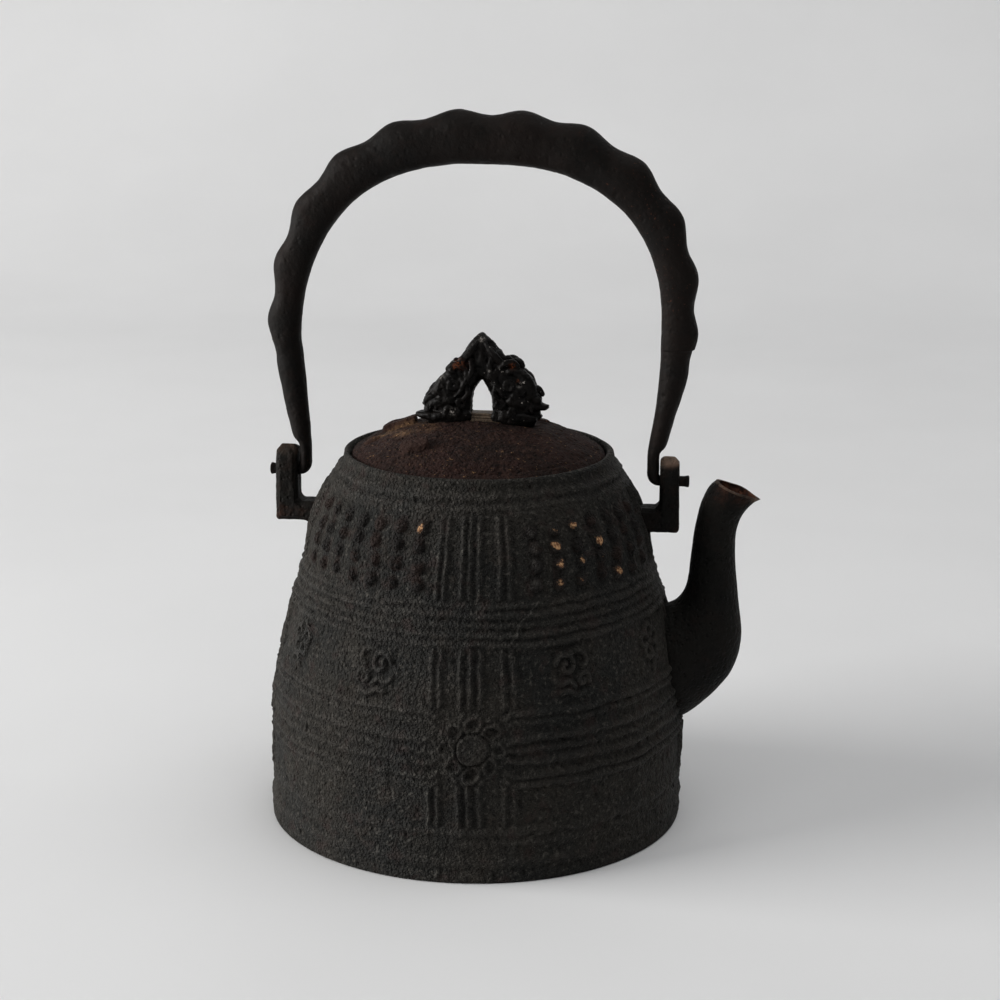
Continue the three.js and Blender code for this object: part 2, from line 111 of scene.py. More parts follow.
def curve_through(points, count):
    """A smooth line through given points, as count points along it."""
    p = np.asarray(points, float)
    p = np.vstack([2 * p[0] - p[1], p, 2 * p[-1] - p[-2]])
    t = np.linspace(0, len(p) - 3, count)
    start = np.minimum(t.astype(int), len(p) - 4)
    f = (t - start)[:, None]
    a, b, c, d = (p[start + k] for k in range(4))
    bend = (2 * a - 5 * b + 4 * c - d) * f**2 + (3 * b - a - 3 * c + d) * f**3
    return 0.5 * (2 * b + (c - a) * f + bend)


def ease(value, low, high):
    """0 below low, 1 above high, and smooth in between."""
    t = np.clip((value - low) / (high - low), 0, 1)
    return t * t * (3 - 2 * t)


def crest(distance, width):
    """A rounded ridge: 1 on its line and fading out past its width."""
    return np.exp(-((distance / width) ** 2))


def lumps(points, size, seed):
    """Smooth random bumps between -1 and 1, about size across, at points in space."""
    table = np.random.default_rng(seed).uniform(-1, 1, (32, 32, 32))
    place = np.asarray(points) / size + 400.5
    cell = np.floor(place).astype(int)
    f = place - cell
    f = f * f * (3 - 2 * f)
    total = 0
    for corner in np.ndindex(2, 2, 2):
        weight = np.prod(np.where(corner, f, 1 - f), axis=-1)
        i, j, k = np.moveaxis((cell + corner) % 32, -1, 0)
        total = total + weight * table[i, j, k]
    return total


def softened(field, reach):
    """The mean of a grid of numbers over a square, reach steps each way."""
    for axis in (0, 1):
        field = sum(np.roll(field, step, axis) for step in range(-reach, reach + 1)) / (2 * reach + 1)
    return field


def signed_power(value, power):
    return np.sign(value) * np.abs(value) ** power


def round_turn(columns):
    """Angles once round, one for each column."""
    return np.linspace(0, 2 * math.pi, columns, endpoint=False)


def volume(points, triangles):
    """Six times the room inside triangles: below 0 where they look inwards."""
    a, b, c = (points[triangles[:, k]] for k in range(3))
    return np.einsum("ij,ij->i", a, np.cross(b, c)).sum()


def away_from_middle(rings):
    """For each point of a ring, the direction away from the ring's middle."""
    way = rings - rings.mean(1, keepdims=True)
    return way / np.linalg.norm(way, axis=-1, keepdims=True)


def mesh_of(name, points, quads, fans=()):
    """A mesh from points in millimetres, four-sided faces and three-sided ones."""
    quads = np.asarray(quads, int).reshape(-1, 4)
    fans = np.asarray(fans, int).reshape(-1, 3)
    corners = np.concatenate([quads.ravel(), fans.ravel()])
    starts = np.concatenate([np.arange(len(quads)) * 4, len(quads) * 4 + np.arange(len(fans)) * 3])
    mesh = bpy.data.meshes.new(name)
    mesh.vertices.add(len(points))
    mesh.vertices.foreach_set("co", (np.asarray(points) * MM).astype(np.float32).ravel())
    mesh.loops.add(len(corners))
    mesh.loops.foreach_set("vertex_index", corners.astype(np.int32))
    mesh.polygons.add(len(starts))
    mesh.polygons.foreach_set("loop_start", starts.astype(np.int32))
    mesh.update(calc_edges=True)
    mesh.validate()
    mesh.shade_smooth()
    return mesh


def paint(mesh, **masks):
    """Keeps a number for each point of the mesh, for its finish to read."""
    for name, values in masks.items():
        layer = mesh.attributes.new(name, "FLOAT", "POINT")
        layer.data.foreach_set("value", np.asarray(values, np.float32).ravel())


def skin(rings, first_pole=None, last_pole=None, keep=None):
    """Points and faces of a closed form from rings of points, each end closed on a pole.

    keep says, for each face between two rings, whether it is there.
    """
    rows, columns, _ = rings.shape
    points = rings.reshape(-1, 3)
    index = np.arange(rows * columns).reshape(rows, columns)
    beside = np.roll(index, -1, axis=1)
    quads = np.stack([index[:-1], beside[:-1], beside[1:], index[1:]], axis=-1).reshape(-1, 4)
    poles = [rings[0].mean(0) if first_pole is None else first_pole]
    poles.append(rings[-1].mean(0) if last_pole is None else last_pole)
    first, last = len(points), len(points) + 1
    points = np.vstack([points, poles])
    fans = np.concatenate(
        [
            np.stack([np.full(columns, first), beside[0], index[0]], axis=-1),
            np.stack([np.full(columns, last), index[-1], beside[-1]], axis=-1),
        ]
    )
    if volume(points, fans) + volume(points, quads[:, [0, 1, 3]]) + volume(points, quads[:, 1:]) < 0:
        quads, fans = quads[:, ::-1], fans[:, ::-1]
    if keep is not None:
        quads = quads[keep.ravel()]
    return points, quads, fans


def halved(quads):
    """Four-sided faces as triangles."""
    return np.concatenate([quads[:, [0, 1, 2]], quads[:, [0, 2, 3]]])


def added(name, data):
    """A new object in the scene."""
    made = bpy.data.objects.new(name, data)
    bpy.context.scene.collection.objects.link(made)
    return made


def piece(name, mesh, body, slot, finish, *nodes):
    """A mesh as a piece of the kettle: on its body, with its finish, in place of its nodes."""
    made = added(name, mesh)
    mesh.materials.append(finish)
    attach(made, body)
    if nodes:
        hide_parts(*nodes)


def fused(name, points, triangles, grain, smoothing, cutter=None):
    """Overlapping forms as one skin, like a casting: remeshed at a grain, with soft corners."""
    rough = added(name + "_rough", mesh_of(name, points, [], triangles))
    fuse = rough.modifiers.new("Fuse", "REMESH")
    fuse.mode = "VOXEL"
    fuse.voxel_size = grain * MM
    if cutter is not None:
        cut = rough.modifiers.new("Bore", "BOOLEAN")
        cut.operation = "DIFFERENCE"
        cut.object = cutter
    soft = rough.modifiers.new("Soften", "SMOOTH")
    soft.factor = 0.5
    soft.iterations = smoothing
    evaluated = rough.evaluated_get(bpy.context.evaluated_depsgraph_get())
    mesh = bpy.data.meshes.new_from_object(evaluated)
    bpy.data.objects.remove(rough)
    mesh.name = name
    mesh.shade_smooth()
    return mesh


def read(mesh, what):
    values = np.zeros(len(mesh.vertices) * 3, np.float32)
    mesh.vertices.foreach_get(what, values)
    return values.reshape(-1, 3).astype(float)


def points_of(mesh):
    return read(mesh, "co") / MM


def move_to(mesh, points):
    """Puts the mesh's points at new places."""
    mesh.vertices.foreach_set("co", (points * MM).astype(np.float32).ravel())
    mesh.update()


def roughen(mesh, *layers):
    """Moves each point along its normal by layers of (size, depth, seed)."""
    points = points_of(mesh)
    shift = sum(depth * lumps(points, size, seed) for size, depth, seed in layers)
    move_to(mesh, points + read(mesh, "normal") * shift[:, None])


# ---------------------------------------------------------------- finishes


class Level:
    """A number that varies over a surface. Arithmetic on it adds Math nodes."""

    def __init__(self, finish, socket):
        self.finish = finish
        self.socket = socket

    def _maths(self, operation, first, second):
        return self.finish.node("ShaderNodeMath", {"operation": operation}, {0: first, 1: second})

    def __add__(self, other):
        return self._maths("ADD", self, other)

    def __sub__(self, other):
        return self._maths("SUBTRACT", self, other)

    def __rsub__(self, other):
        return self._maths("SUBTRACT", other, self)

    def __mul__(self, other):
        return self._maths("MULTIPLY", self, other)

    __radd__ = __add__
    __rmul__ = __mul__

    def within(self, low, high):
        """0 at low and 1 at high, smooth in between; the other way round where low is above high."""
        values = {"Value": self, "From Min": low, "From Max": high}
        return self.finish.node("ShaderNodeMapRange", {"interpolation_type": "SMOOTHSTEP"}, values)


class Finish:
    """A material built from nodes round one Principled shader."""

    def __init__(self, name, **uniform):
        self.material = bpy.data.materials.new(name)
        self.material.use_nodes = True
        self.tree = self.material.node_tree
        self.shader = self.tree.nodes["Principled BSDF"]
        for socket, value in uniform.items():
            self.shader.inputs[socket.replace("_", " ").title().replace("Ior", "IOR")].default_value = value

    def node(self, kind, settings=None, inputs=None, output=0):
        """One node: its settings are set first, then the values or links of its sockets."""
        made = self.tree.nodes.new(kind)
        for name, value in (settings or {}).items():
            setattr(made, name, value)
        for name, value in (inputs or {}).items():
            if isinstance(value, Level):
                self.tree.links.new(value.socket, made.inputs[name])
            else:
                made.inputs[name].default_value = value
        return Level(self, made.outputs[output])

    def place(self):
        """Where a point is on its piece, in millimetres."""
        coordinates = self.node("ShaderNodeTexCoord", output="Object")
        return self.node("ShaderNodeVectorMath", {"operation": "SCALE"}, {0: coordinates, "Scale": 1000.0})

    def noise(self, size, detail=4.0, roughness=0.6):
        """Cloudy noise between 0 and 1, with features about size across."""
        inputs = {"Vector": self.place(), "Scale": 1 / size, "Detail": detail, "Roughness": roughness}
        return self.node("ShaderNodeTexNoise", None, inputs)

    def grains(self, size):
        """Distance from the middle of the nearest grain, 0 to about 1."""
        inputs = {"Vector": self.place(), "Scale": 1 / size}
        return self.node("ShaderNodeTexVoronoi", None, inputs, output="Distance")

    def painted(self, name):
        """A number kept on the mesh by paint()."""
        return self.node("ShaderNodeAttribute", {"attribute_name": name}, output="Fac")

    def height(self):
        """How high a point is on its piece, in millimetres."""
        return self.node("ShaderNodeSeparateXYZ", None, {0: self.place()}, output="Z")

    def blend(self, share, first, second):
        """Two colours mixed: all first at 0, all second at 1."""
        first, second = (colour if isinstance(colour, Level) else (*colour, 1) for colour in (first, second))
        return self.node("ShaderNodeMix", {"data_type": "RGBA"}, {0: share, 6: first, 7: second}, output=2)

    def wear(self, base_color, roughness=None, metallic=None):
        """Feeds the shader's colour, roughness and metallic."""
        for name, value in (("Base Color", base_color), ("Roughness", roughness), ("Metallic", metallic)):
            if value is not None:
                self.tree.links.new(value.socket, self.shader.inputs[name])

    def grain(self, height, depth):
        """Fine surface height in millimetres times depth, as a bump."""
        bump = self.node("ShaderNodeBump", None, {"Height": height, "Distance": depth * MM, "Strength": 1.0})
        self.tree.links.new(bump.socket, self.shader.inputs["Normal"])


def sand_cast_iron():
    """Rough dark grey-brown casting: sandy skin, painted shade in the hollows, rubbed crests and a little
    bright rust.
    """
    f = Finish("sand_cast_iron", specular_ior_level=0.22)
    broad = f.noise(34, 3)
    patch = f.noise(9, 5, 0.65)
    speck = f.noise(1.3, 2, 0.6)
    crests = f.painted("crest")
    golden = f.painted("golden")
    pale = f.painted("pale")
    inside = f.painted("inside")
    iron = f.blend(broad.within(0.35, 0.65), (0.0156, 0.0158, 0.0145), (0.026, 0.0235, 0.0196))
    iron = f.blend(patch.within(0.52, 0.72) * 0.6, iron, (0.031, 0.0248, 0.0195))
    iron = f.blend(speck.within(0.55, 0.7) * 0.8, iron, (0.066, 0.061, 0.053))
    iron = f.blend(speck.within(0.46, 0.32) * 0.65, iron, (0.005, 0.0046, 0.0042))
    # Painted shade: near-black where the hollow mask marks the hollows between the ridges
    iron = f.blend(f.painted("hollow_shade") * 0.75, iron, (0.0052, 0.0046, 0.0042))
    iron = f.blend(f.noise(6.5, 3).within(0.54, 0.7) * 0.55, iron, (0.031, 0.0205, 0.018))
    iron = f.blend(crests * patch.within(0.3, 0.7) * 0.5, iron, (0.0406, 0.0364, 0.0322))
    nub = f.blend(patch.within(0.45, 0.6), (0.0062, 0.0048, 0.0042), (0.0165, 0.0085, 0.0062))
    iron = f.blend(f.painted("dark") * 0.85, iron, nub)
    rust = (golden * 0.6 + f.noise(1.1, 3, 0.7) * 0.9).within(0.72, 0.94) * golden.within(0.02, 0.3)
    tips = f.blend(f.noise(0.8, 2).within(0.42, 0.6), (0.15, 0.062, 0.028), (0.52, 0.3, 0.15))
    iron = f.blend(rust, iron, tips)
    iron = f.blend(pale * speck.within(0.35, 0.55), iron, (0.17, 0.16, 0.145))
    scale = f.blend(patch.within(0.35, 0.65), (0.026, 0.0156, 0.0114), (0.0468, 0.0364, 0.0286))
    f.wear(f.blend(inside, iron, scale), 0.7 + 0.24 * patch - 0.12 * crests, 0.35 - 0.3 * rust)
    sand = 1.3 * f.noise(0.95, 1, 0.5) + 0.4 * f.noise(2.2, 1, 0.5) - 0.5 * f.grains(1.2).within(0.4, 0.1)
    f.grain(sand, 1.03)
    return f.material


def smooth_cast_iron():
    """The finer castings: brown-black, small pits, pale where rubbed, rusty where water runs."""
    f = Finish("smooth_cast_iron", specular_ior_level=0.15)
    broad = f.noise(18, 3)
    patch = f.noise(5, 5, 0.65)
    speck = f.noise(0.9, 3, 0.7)
    rubbed = f.painted("rubbed")
    rusty = f.painted("rusty")
    iron = f.blend(broad.within(0.35, 0.65), (0.0066, 0.0066, 0.006), (0.0114, 0.0106, 0.0092))
    iron = f.blend(patch.within(0.5, 0.7) * 0.6, iron, (0.0161, 0.0114, 0.0096))
    iron = f.blend(speck.within(0.62, 0.75) * 0.35, iron, (0.0279, 0.0247, 0.0217))
    red = f.blend(patch.within(0.4, 0.65), (0.0108, 0.00369, 0.0028), (0.11, 0.04, 0.021))
    iron = f.blend(rusty * speck.within(0.2, 0.55), iron, red)
    iron = f.blend(rubbed * patch.within(0.25, 0.55), iron, (0.3, 0.21, 0.155))
    f.wear(iron, 0.56 + 0.28 * patch, 0.5 - 0.3 * rusty)
    pits = f.noise(1.6, 2, 0.5) * 0.9 - 0.6 * f.grains(2.3).within(0.3, 0.05)
    f.grain(pits, 0.75)
    return f.material


def forged_iron():
    """The bail: smooth warm brown-black iron with mottled pitting and tiny rust specks."""
    f = Finish("forged_iron", specular_ior_level=0.15)
    broad = f.noise(26, 3)
    patch = f.noise(6, 5, 0.62)
    speck = f.noise(0.7, 3, 0.7)
    rusty = f.painted("rusty")
    iron = f.blend(broad.within(0.35, 0.65), (0.00525, 0.00455, 0.00404), (0.00914, 0.00649, 0.00542))
    iron = f.blend(patch.within(0.5, 0.72) * 0.7, iron, (0.0122, 0.0077, 0.00631))
    iron = f.blend(patch.within(0.42, 0.28) * 0.6, iron, (0.00316, 0.00296, 0.00279))
    iron = f.blend(speck.within(0.66, 0.76) * 0.4, iron, (0.021, 0.0175, 0.0149))
    rust = rusty * f.noise(0.9, 2, 0.7).within(0.64, 0.74)
    iron = f.blend(rust * 0.45, iron, (0.14, 0.05, 0.022))
    f.wear(iron, 0.5 + 0.3 * patch, 0.35 - 0.25 * rust)
    pits = 0.6 * f.noise(1.7, 2, 0.6) + 0.9 * f.noise(7, 2) - 0.3 * f.grains(2.9).within(0.3, 0.0)
    f.grain(pits, 0.45)
    return f.material


def lid_iron():
    """The lid: matt maroon-brown iron with golden rust to one side."""
    f = Finish("lid_iron", specular_ior_level=0.13)
    broad = f.noise(22, 3)
    patch = f.noise(5, 5, 0.65)
    speck = f.noise(1.2, 2, 0.65)
    golden = f.painted("golden")
    worn = f.painted("crest")
    iron = f.blend(broad.within(0.35, 0.65), (0.0135, 0.00807, 0.00655), (0.0229, 0.0102, 0.00812))
    iron = f.blend(patch.within(0.48, 0.66) * 0.85, iron, (0.034, 0.0175, 0.0132))
    iron = f.blend(speck.within(0.47, 0.32) * 0.9, iron, (0.0045, 0.0034, 0.0028))
    tan = f.blend(speck.within(0.4, 0.62), (0.13, 0.075, 0.04), (0.3, 0.17, 0.08))
    iron = f.blend(golden * patch.within(0.3, 0.6), iron, tan)
    fleck = f.noise(1.3, 2, 0.7).within(0.66, 0.71)
    iron = f.blend(fleck * (0.25 + golden), iron, (0.62, 0.36, 0.17))
    iron = f.blend(worn * 0.8, iron, (0.03, 0.015, 0.0115))
    f.wear(iron, 0.72 + 0.25 * patch, 0.15 - 0.12 * golden)
    sand = f.noise(1.3, 2, 0.5) + 0.7 * f.noise(3, 2) - 0.6 * f.grains(1.7).within(0.4, 0.08)
    f.grain(sand, 1.15)
    return f.material


def dark_cast_iron():
    """The knob: fine black casting with a greasy gloss, and flecks of rust and pale scale."""
    f = Finish("dark_cast_iron", specular_ior_level=0.12)
    patch = f.noise(4, 4, 0.6)
    speck = f.noise(0.9, 3, 0.7)
    iron = f.blend(patch.within(0.35, 0.65), (0.00262, 0.00225, 0.00206), (0.006, 0.00485, 0.0043))
    # Partly painted top light: crest is lighter where the knob faces up, plus random lighter lumps
    crests = f.painted("crest")
    iron = f.blend(crests * 0.3, iron, (0.0112, 0.00976, 0.00856))
    scale = f.noise(1.7, 2, 0.6).within(0.69, 0.73) + f.painted("pale") * speck.within(0.45, 0.6)
    iron = f.blend(scale * 0.85, iron, (0.36, 0.33, 0.3))
    rust = f.painted("golden") * speck.within(0.46, 0.58)
    iron = f.blend(rust * 0.65, iron, (0.3, 0.08, 0.026))
    f.wear(iron, 0.24 + 0.25 * patch + 0.3 * scale, 0.25 - 0.2 * rust)
    f.grain(0.6 * speck + f.noise(2, 2), 0.3)
    return f.material


def worn_brass():
    """Tarnished brass, light brown where rubbed."""
    f = Finish("worn_brass", specular_ior_level=0.5)
    patch = f.noise(3, 4, 0.6)
    brass = f.blend(patch.within(0.35, 0.65), (0.045, 0.031, 0.022), (0.125, 0.087, 0.058))
    brass = f.blend(f.noise(0.8).within(0.5, 0.66) * 0.5, brass, (0.25, 0.19, 0.13))
    f.wear(brass, 0.4 + 0.3 * patch, 0.75 - 0.3 * patch)
    f.grain(f.noise(0.6, 4, 0.7), 0.1)
    return f.material


SAND_CAST = sand_cast_iron()
SMOOTH_CAST = smooth_cast_iron()
FORGED = forged_iron()
LID_IRON = lid_iron()
DARK_CAST = dark_cast_iron()
WORN_BRASS = worn_brass()

# ---------------------------------------------------------------- body

# The bell's side: height as a share of the body's, and where the wall stands from rim (0) to foot (1)
BELL = (
    (0.09, 1), (0.16, 1), (0.26, 0.995), (0.36, 0.955), (0.46, 0.885), (0.56, 0.775), (0.65, 0.65),
    (0.73, 0.55), (0.8, 0.49), (0.85, 0.4), (0.9, 0.29), (0.94, 0.17), (0.97, 0.075), (1, 0),
)
FOOT = ((-1.1, 0), (-0.2, 0.7), (0.1, 2.4), (0.2, 5.5))  # out from the base's radius, and up
BELL_LINE = curve_through(
    [(BASE_RADIUS + out, up) for out, up in FOOT]
    + [(RIM_RADIUS + (BASE_RADIUS - RIM_RADIUS) * spread, share * RIM_HEIGHT) for share, spread in BELL],
    900,
)

PATTERN_FRONT = -84.3  # degrees: where the pattern's front group stands, with the spout at 0
GROUP_EVERY = 90.0  # degrees between one group of upright ridges and the next
UPRIGHTS = (-11.3, -8.9, -3.6, -0.9, 1.9, 8.4, 11.3)  # degrees from a group's middle
UPRIGHT_PROUD = 1.1
TIERS = ((90.2, 115), (57.4, 75.6), (18.8, 32.6))  # heights that the uprights run between
TOP_LINE = (115.6, 0.7, 0.6)  # the thin ridge over the bosses: height, half width and how proud
HOOPS = (  # height, half width and how proud each level ridge stands
    (120.2, 1.05, 1.15), (117, 0.85, 0.95), (88.6, 0.9, 1.0), (85.8, 1.05, 1.3), (82.6, 0.85, 0.95),
    (79.6, 0.9, 1.15), (76.9, 1.0, 1.3), (17.6, 1.5, 0.85), (13.6, 1.4, 0.5), (7.4, 1.5, 0.7),
    (2.2, 1.4, 0.5),
)
BELT = (  # the level ridges that bend round the medallions
    (55.8, 1.05, 1.3), (53, 0.85, 1.0), (47.8, 1.1, 1.25), (44.1, 0.9, 0.85), (40.4, 1.0, 1.15),
    (35.7, 0.95, 1.15), (32.9, 0.95, 1.25),
)
MEDALLION_HEIGHT = 44.5
PETAL_REACH, BEAD_REACH = 8.2, 11.1  # from a medallion's middle
MOTIF_HEIGHT = 67.0
MOTIF_TURN = 16  # degrees from a panel's middle to each of its two motifs
PANELS = 4
BOSS_ROWS = (110.8, 105.2, 99.6, 94)
BOSS_COLUMNS = 7
BOSS_STEP = 8.2  # degrees
BOSS_START = 44.6  # degrees from the pattern's front to the first panel's middle boss
LAST_PANEL_SLIP = 2.4  # degrees that the last panel's bosses are set on
BOSS_PROUD = 1.9
BOSS_RADIUS = 2.2
# Bosses with bright tips: panel, column from the panel's front end, row from the top, and how bright
BRIGHT_TIPS = (
    (0, 1, 0, 0.5), (0, 2, 0, 0.8), (0, 1, 1, 1.0), (0, 3, 1, 0.9), (0, 1, 2, 0.7), (0, 2, 2, 0.75),
    (0, 3, 2, 0.35), (0, 1, 3, 0.6), (0, 2, 3, 0.5), (0, 4, 3, 0.8), (3, 6, 0, 0.85), (1, 2, 1, 0.7),
    (1, 4, 2, 0.6), (2, 3, 0, 0.5), (2, 5, 3, 0.6),
)
SPOUT_HOLE_HEIGHT, SPOUT_HOLE_HALF_HIGH, SPOUT_HOLE_HALF_WIDE = 54.2, 17, 11.4


def bell_radius(height):
    return np.interp(height, BELL_LINE[:, 1], BELL_LINE[:, 0])


def spiral(across, up, size, hand, turns, start):
    """A curl that winds out from its middle, as a line of points."""
    turn = np.linspace(0.15, 1, 60)
    angle = start + hand * turns * 2 * math.pi * turn
    return np.stack([across + size * turn * np.cos(angle), up + size * turn * np.sin(angle)], -1)


def scroll_lines():
    """A small cloud scroll as lines of points, across and up from its middle."""
    return np.vstack(
        [
            spiral(-2.2, 1.7, 3.7, 1, 1.4, 0.4),
            curve_through([(-0.5, 5), (2, 5.7), (4.6, 4.4), (5.2, 2.2), (3.8, 0.7)], 60),
            spiral(3.4, -2.7, 2.5, -1, 1.2, 1.0),
            curve_through([(-6.6, -2), (-4.4, -3.2), (-1.8, -2.6), (0.3, -4.4)], 50),
            curve_through([(-4.4, -5.6), (-1.6, -5.4), (0.8, -6.7), (3.4, -6.2)], 50),
        ]
    )


def blossom_lines():
    """A small five-petalled blossom on its stem as lines of points, across and up from its middle."""
    middle_up, petal_reach, petal_size = 1.8, 3.1, 1.9
    lines = []
    for petal in range(5):
        middle = math.radians(90 + 72 * petal)
        at = np.array([math.cos(middle), math.sin(middle)]) * petal_reach
        turn = np.linspace(middle - 2.4, middle + 2.4, 40)
        lines.append(at + (0, middle_up) + petal_size * np.stack([np.cos(turn), np.sin(turn)], -1))
    lines.append(np.array([(0, middle_up), (0.3, 2.1), (-0.3, 2.1)]))
    lines.append(curve_through([(0, -1.5), (0.5, -3.6), (-0.6, -6)], 40))
    lines.append(curve_through([(0.3, -4), (2.4, -3.4), (4.6, -4.9)], 40))
    return np.vstack(lines)


def medallion(across, up):
    """Height of a flower: a ringed disc, with eight curled petals round it and a bead between each two."""
    reach = np.hypot(across, up)
    turn = np.arctan2(up, across) + 0.03 * (reach - 8)
    beside = (turn + math.pi / 8) % (math.pi / 4) - math.pi / 8  # from the middle of the nearest petal
    between = turn % (math.pi / 4) - math.pi / 8

    def away_from(distance, angle):
        return np.sqrt(reach**2 + distance**2 - 2 * distance * reach * np.cos(angle))

    disc = 0.8 * ease(reach, 5.6, 4.9) + 0.45 * crest(reach - 4.7, 0.55)
    from_petal = away_from(PETAL_REACH, beside)
    petal = 1.15 * crest(from_petal - 2.3, 0.8) * ease(reach, 5.6, 6.3) - 1.0 * crest(from_petal, 1.3)
    return disc + petal + 1.2 * crest(away_from(BEAD_REACH, between), 1.05)


def arc_from(centre, angle, radius):
    """How far round the body a place is from an angle in degrees, in millimetres."""
    return np.radians((angle - centre + 180) % 360 - 180) * radius


def body_pattern(angle, height, radius, wobble):
    """How proud the level ridges, the uprights and the medallions stand."""
    turn = (angle + GROUP_EVERY / 2) % GROUP_EVERY - GROUP_EVERY / 2
    arc = np.radians(turn) * radius
    level = height + 0.5 * wobble[0] + 0.22 * wobble[2] + 0.34 * wobble[3]
    side = arc + 0.38 * wobble[1] + 0.15 * wobble[2] + 0.34 * wobble[4]
    proud = np.zeros_like(radius)
    for place, width, rise in HOOPS:
        proud = np.maximum(proud, rise * crest(level - place, width))
    past_medallion = ease(np.abs(arc), 9.8, 11.6)
    lean = 1.3 * ease(np.abs(arc), 14, 10.5)
    for place, width, rise in BELT:
        toward = lean * np.sign(MEDALLION_HEIGHT - place) * (abs(place - MEDALLION_HEIGHT) > 3)
        proud = np.maximum(proud, rise * crest(level - place - toward, width) * past_medallion)
    for low, high in TIERS:
        reach = ease(height, low - 0.6, low + 0.6) * ease(height, high + 0.6, high - 0.6)
        for degrees in UPRIGHTS:
            upright = UPRIGHT_PROUD * crest(side - np.radians(degrees) * radius, 0.75) * reach
            proud = np.maximum(proud, upright)
    from_medallion = np.hypot(arc, height - MEDALLION_HEIGHT)
    flower = medallion(side, level - MEDALLION_HEIGHT) * ease(from_medallion, 12.6, 11.2)
    proud = np.where(flower > 0, np.maximum(proud, flower), proud + flower)
    place, width, rise = TOP_LINE
    top_line = crest(level - place, width) * ease(np.abs(turn), 12.5, 14)
    return np.maximum(proud, rise * top_line)


def add_bosses(proud, golden, pale, dark, angle, height, radius, ragged):
    """Raises the bosses on proud, and marks where they are bright, pale and dark."""
    draw = np.random.default_rng(5)
    bright_tips = {tuple(place): bright for *place, bright in BRIGHT_TIPS}
    for panel, column, row in np.ndindex(PANELS, BOSS_COLUMNS, len(BOSS_ROWS)):
        centre = BOSS_START + 90 * panel + BOSS_STEP * (column - 3) + (LAST_PANEL_SLIP if panel == 3 else 0)
        centre += draw.normal(0, 0.35)
        up = BOSS_ROWS[row] + draw.normal(0, 0.35)
        size = BOSS_RADIUS * draw.uniform(0.88, 1.1)
        rise = BOSS_PROUD * draw.uniform(0.75, 1.12)
        across = arc_from(centre, angle, radius)
        reach = np.hypot(across, height - up) * (1 + 0.16 * ragged)
        near = reach < 3.2
        dome = rise * np.clip(1 - (reach[near] / size) ** 2, 0, 1) ** 0.75
        ring = -0.3 * crest(reach[near] - size - 0.4, 0.6)
        proud[near] = np.maximum(proud[near] + ring, dome)
        bright = bright_tips.get((panel, column, row), 0)
        rubbed = np.hypot(across + 0.3, height - up - 0.3)[near] * (1 + 0.5 * ragged[near])
        golden[near] = np.maximum(golden[near], bright * ease(rubbed, 2.2, 0.5))
        dark[near] = np.maximum(dark[near], (1 - 0.6 * bright) * ease(reach[near], 3.0, 1.7))
        if panel == 0 and column == 0:
            pale[near] = np.maximum(pale[near], 0.12 * ease(rubbed, 2.0, 0.6))


def add_motifs(proud, angle, height, radius, ragged):
    """Raises a scroll and a blossom in each panel of the middle zone, every second panel's mirrored."""
    for panel in range(PANELS):
        hand = 1 if panel % 2 == 0 else -1
        for turn, lines in ((-MOTIF_TURN, scroll_lines()), (MOTIF_TURN, blossom_lines())):
            across = arc_from(45 + 90 * panel + hand * turn, angle, radius)
            near = np.hypot(across, height - MOTIF_HEIGHT) < 9.5
            here = np.stack([across[near], height[near] - MOTIF_HEIGHT], -1)
            gaps = here[:, None] * (1, 1 / 1.12) - (lines * (hand, 1))[None]
            apart = np.linalg.norm(gaps, axis=-1).min(axis=1)
            stroke = 1.15 * ease(apart, 1.15, 0.35) * (0.85 + 0.3 * ragged[near])
            proud[near] = np.maximum(proud[near], stroke)


def corner(radius, height, *offsets):
    """Points of a section at small offsets out and up from one place."""
    return [(radius + out, height + up) for out, up in offsets]


def body_line():
    """The casting's section from under the foot to the floor inside, and its first and last outside rows."""
    under = [(reach, 0.0) for reach in (12, 30, 50, 62, 66)]
    outer_heights = np.linspace(0, RIM_HEIGHT - 0.9, 300)
    outer = np.stack([bell_radius(outer_heights), outer_heights], -1)
    rim = [
        *corner(RIM_RADIUS, RIM_HEIGHT, (-0.25, -0.35), (-0.75, -0.05)),
        *corner(RECESS_RADIUS, RIM_HEIGHT, (0.55, -0.05), (0.15, -0.4), (0, -1.0)),
        *corner(RECESS_RADIUS, LEDGE_TOP, (0, 1.2), (-0.1, 0.1), (-0.6, -0.05)),
        *corner(MOUTH_RADIUS, LEDGE_TOP, (2.4, -0.1), (0.5, -0.1), (0.05, -0.6), (0, -1.7)),
        *corner(MOUTH_RADIUS, LEDGE_BOTTOM, (0.05, 0.5), (0.7, 0), (3.4, -1.2)),
    ]
    inner_heights = np.linspace(LEDGE_BOTTOM - 4, 9, 20)
    inner = np.stack([bell_radius(inner_heights) - WALL, inner_heights], -1)
    bowl = [(BASE_RADIUS - WALL - 0.8, 6.6), (BASE_RADIUS - WALL - 2.4, 4.6)]
    bowl += [(reach, FLOOR_THICKNESS) for reach in (BASE_RADIUS - WALL - 5, 50, 35, 20, 8)]
    return np.vstack([under, outer, rim, inner, bowl]), len(under), len(under) + len(outer)


def body_scratch(angle, height, radius, wobble):
    """A fine pale scratch that wanders down from the hoops beside the front group."""
    along = np.clip((89 - height) / 11.5, 0, 1)
    centre = 20 - 9 * along**0.8 + 0.5 * np.sin(along * 9)
    scratch = 0.4 * crest(np.radians(angle - centre + 0.7 * wobble[2]) * radius, 0.28)
    return scratch * (ease(height, 77, 78) * ease(height, 89.5, 88.5))


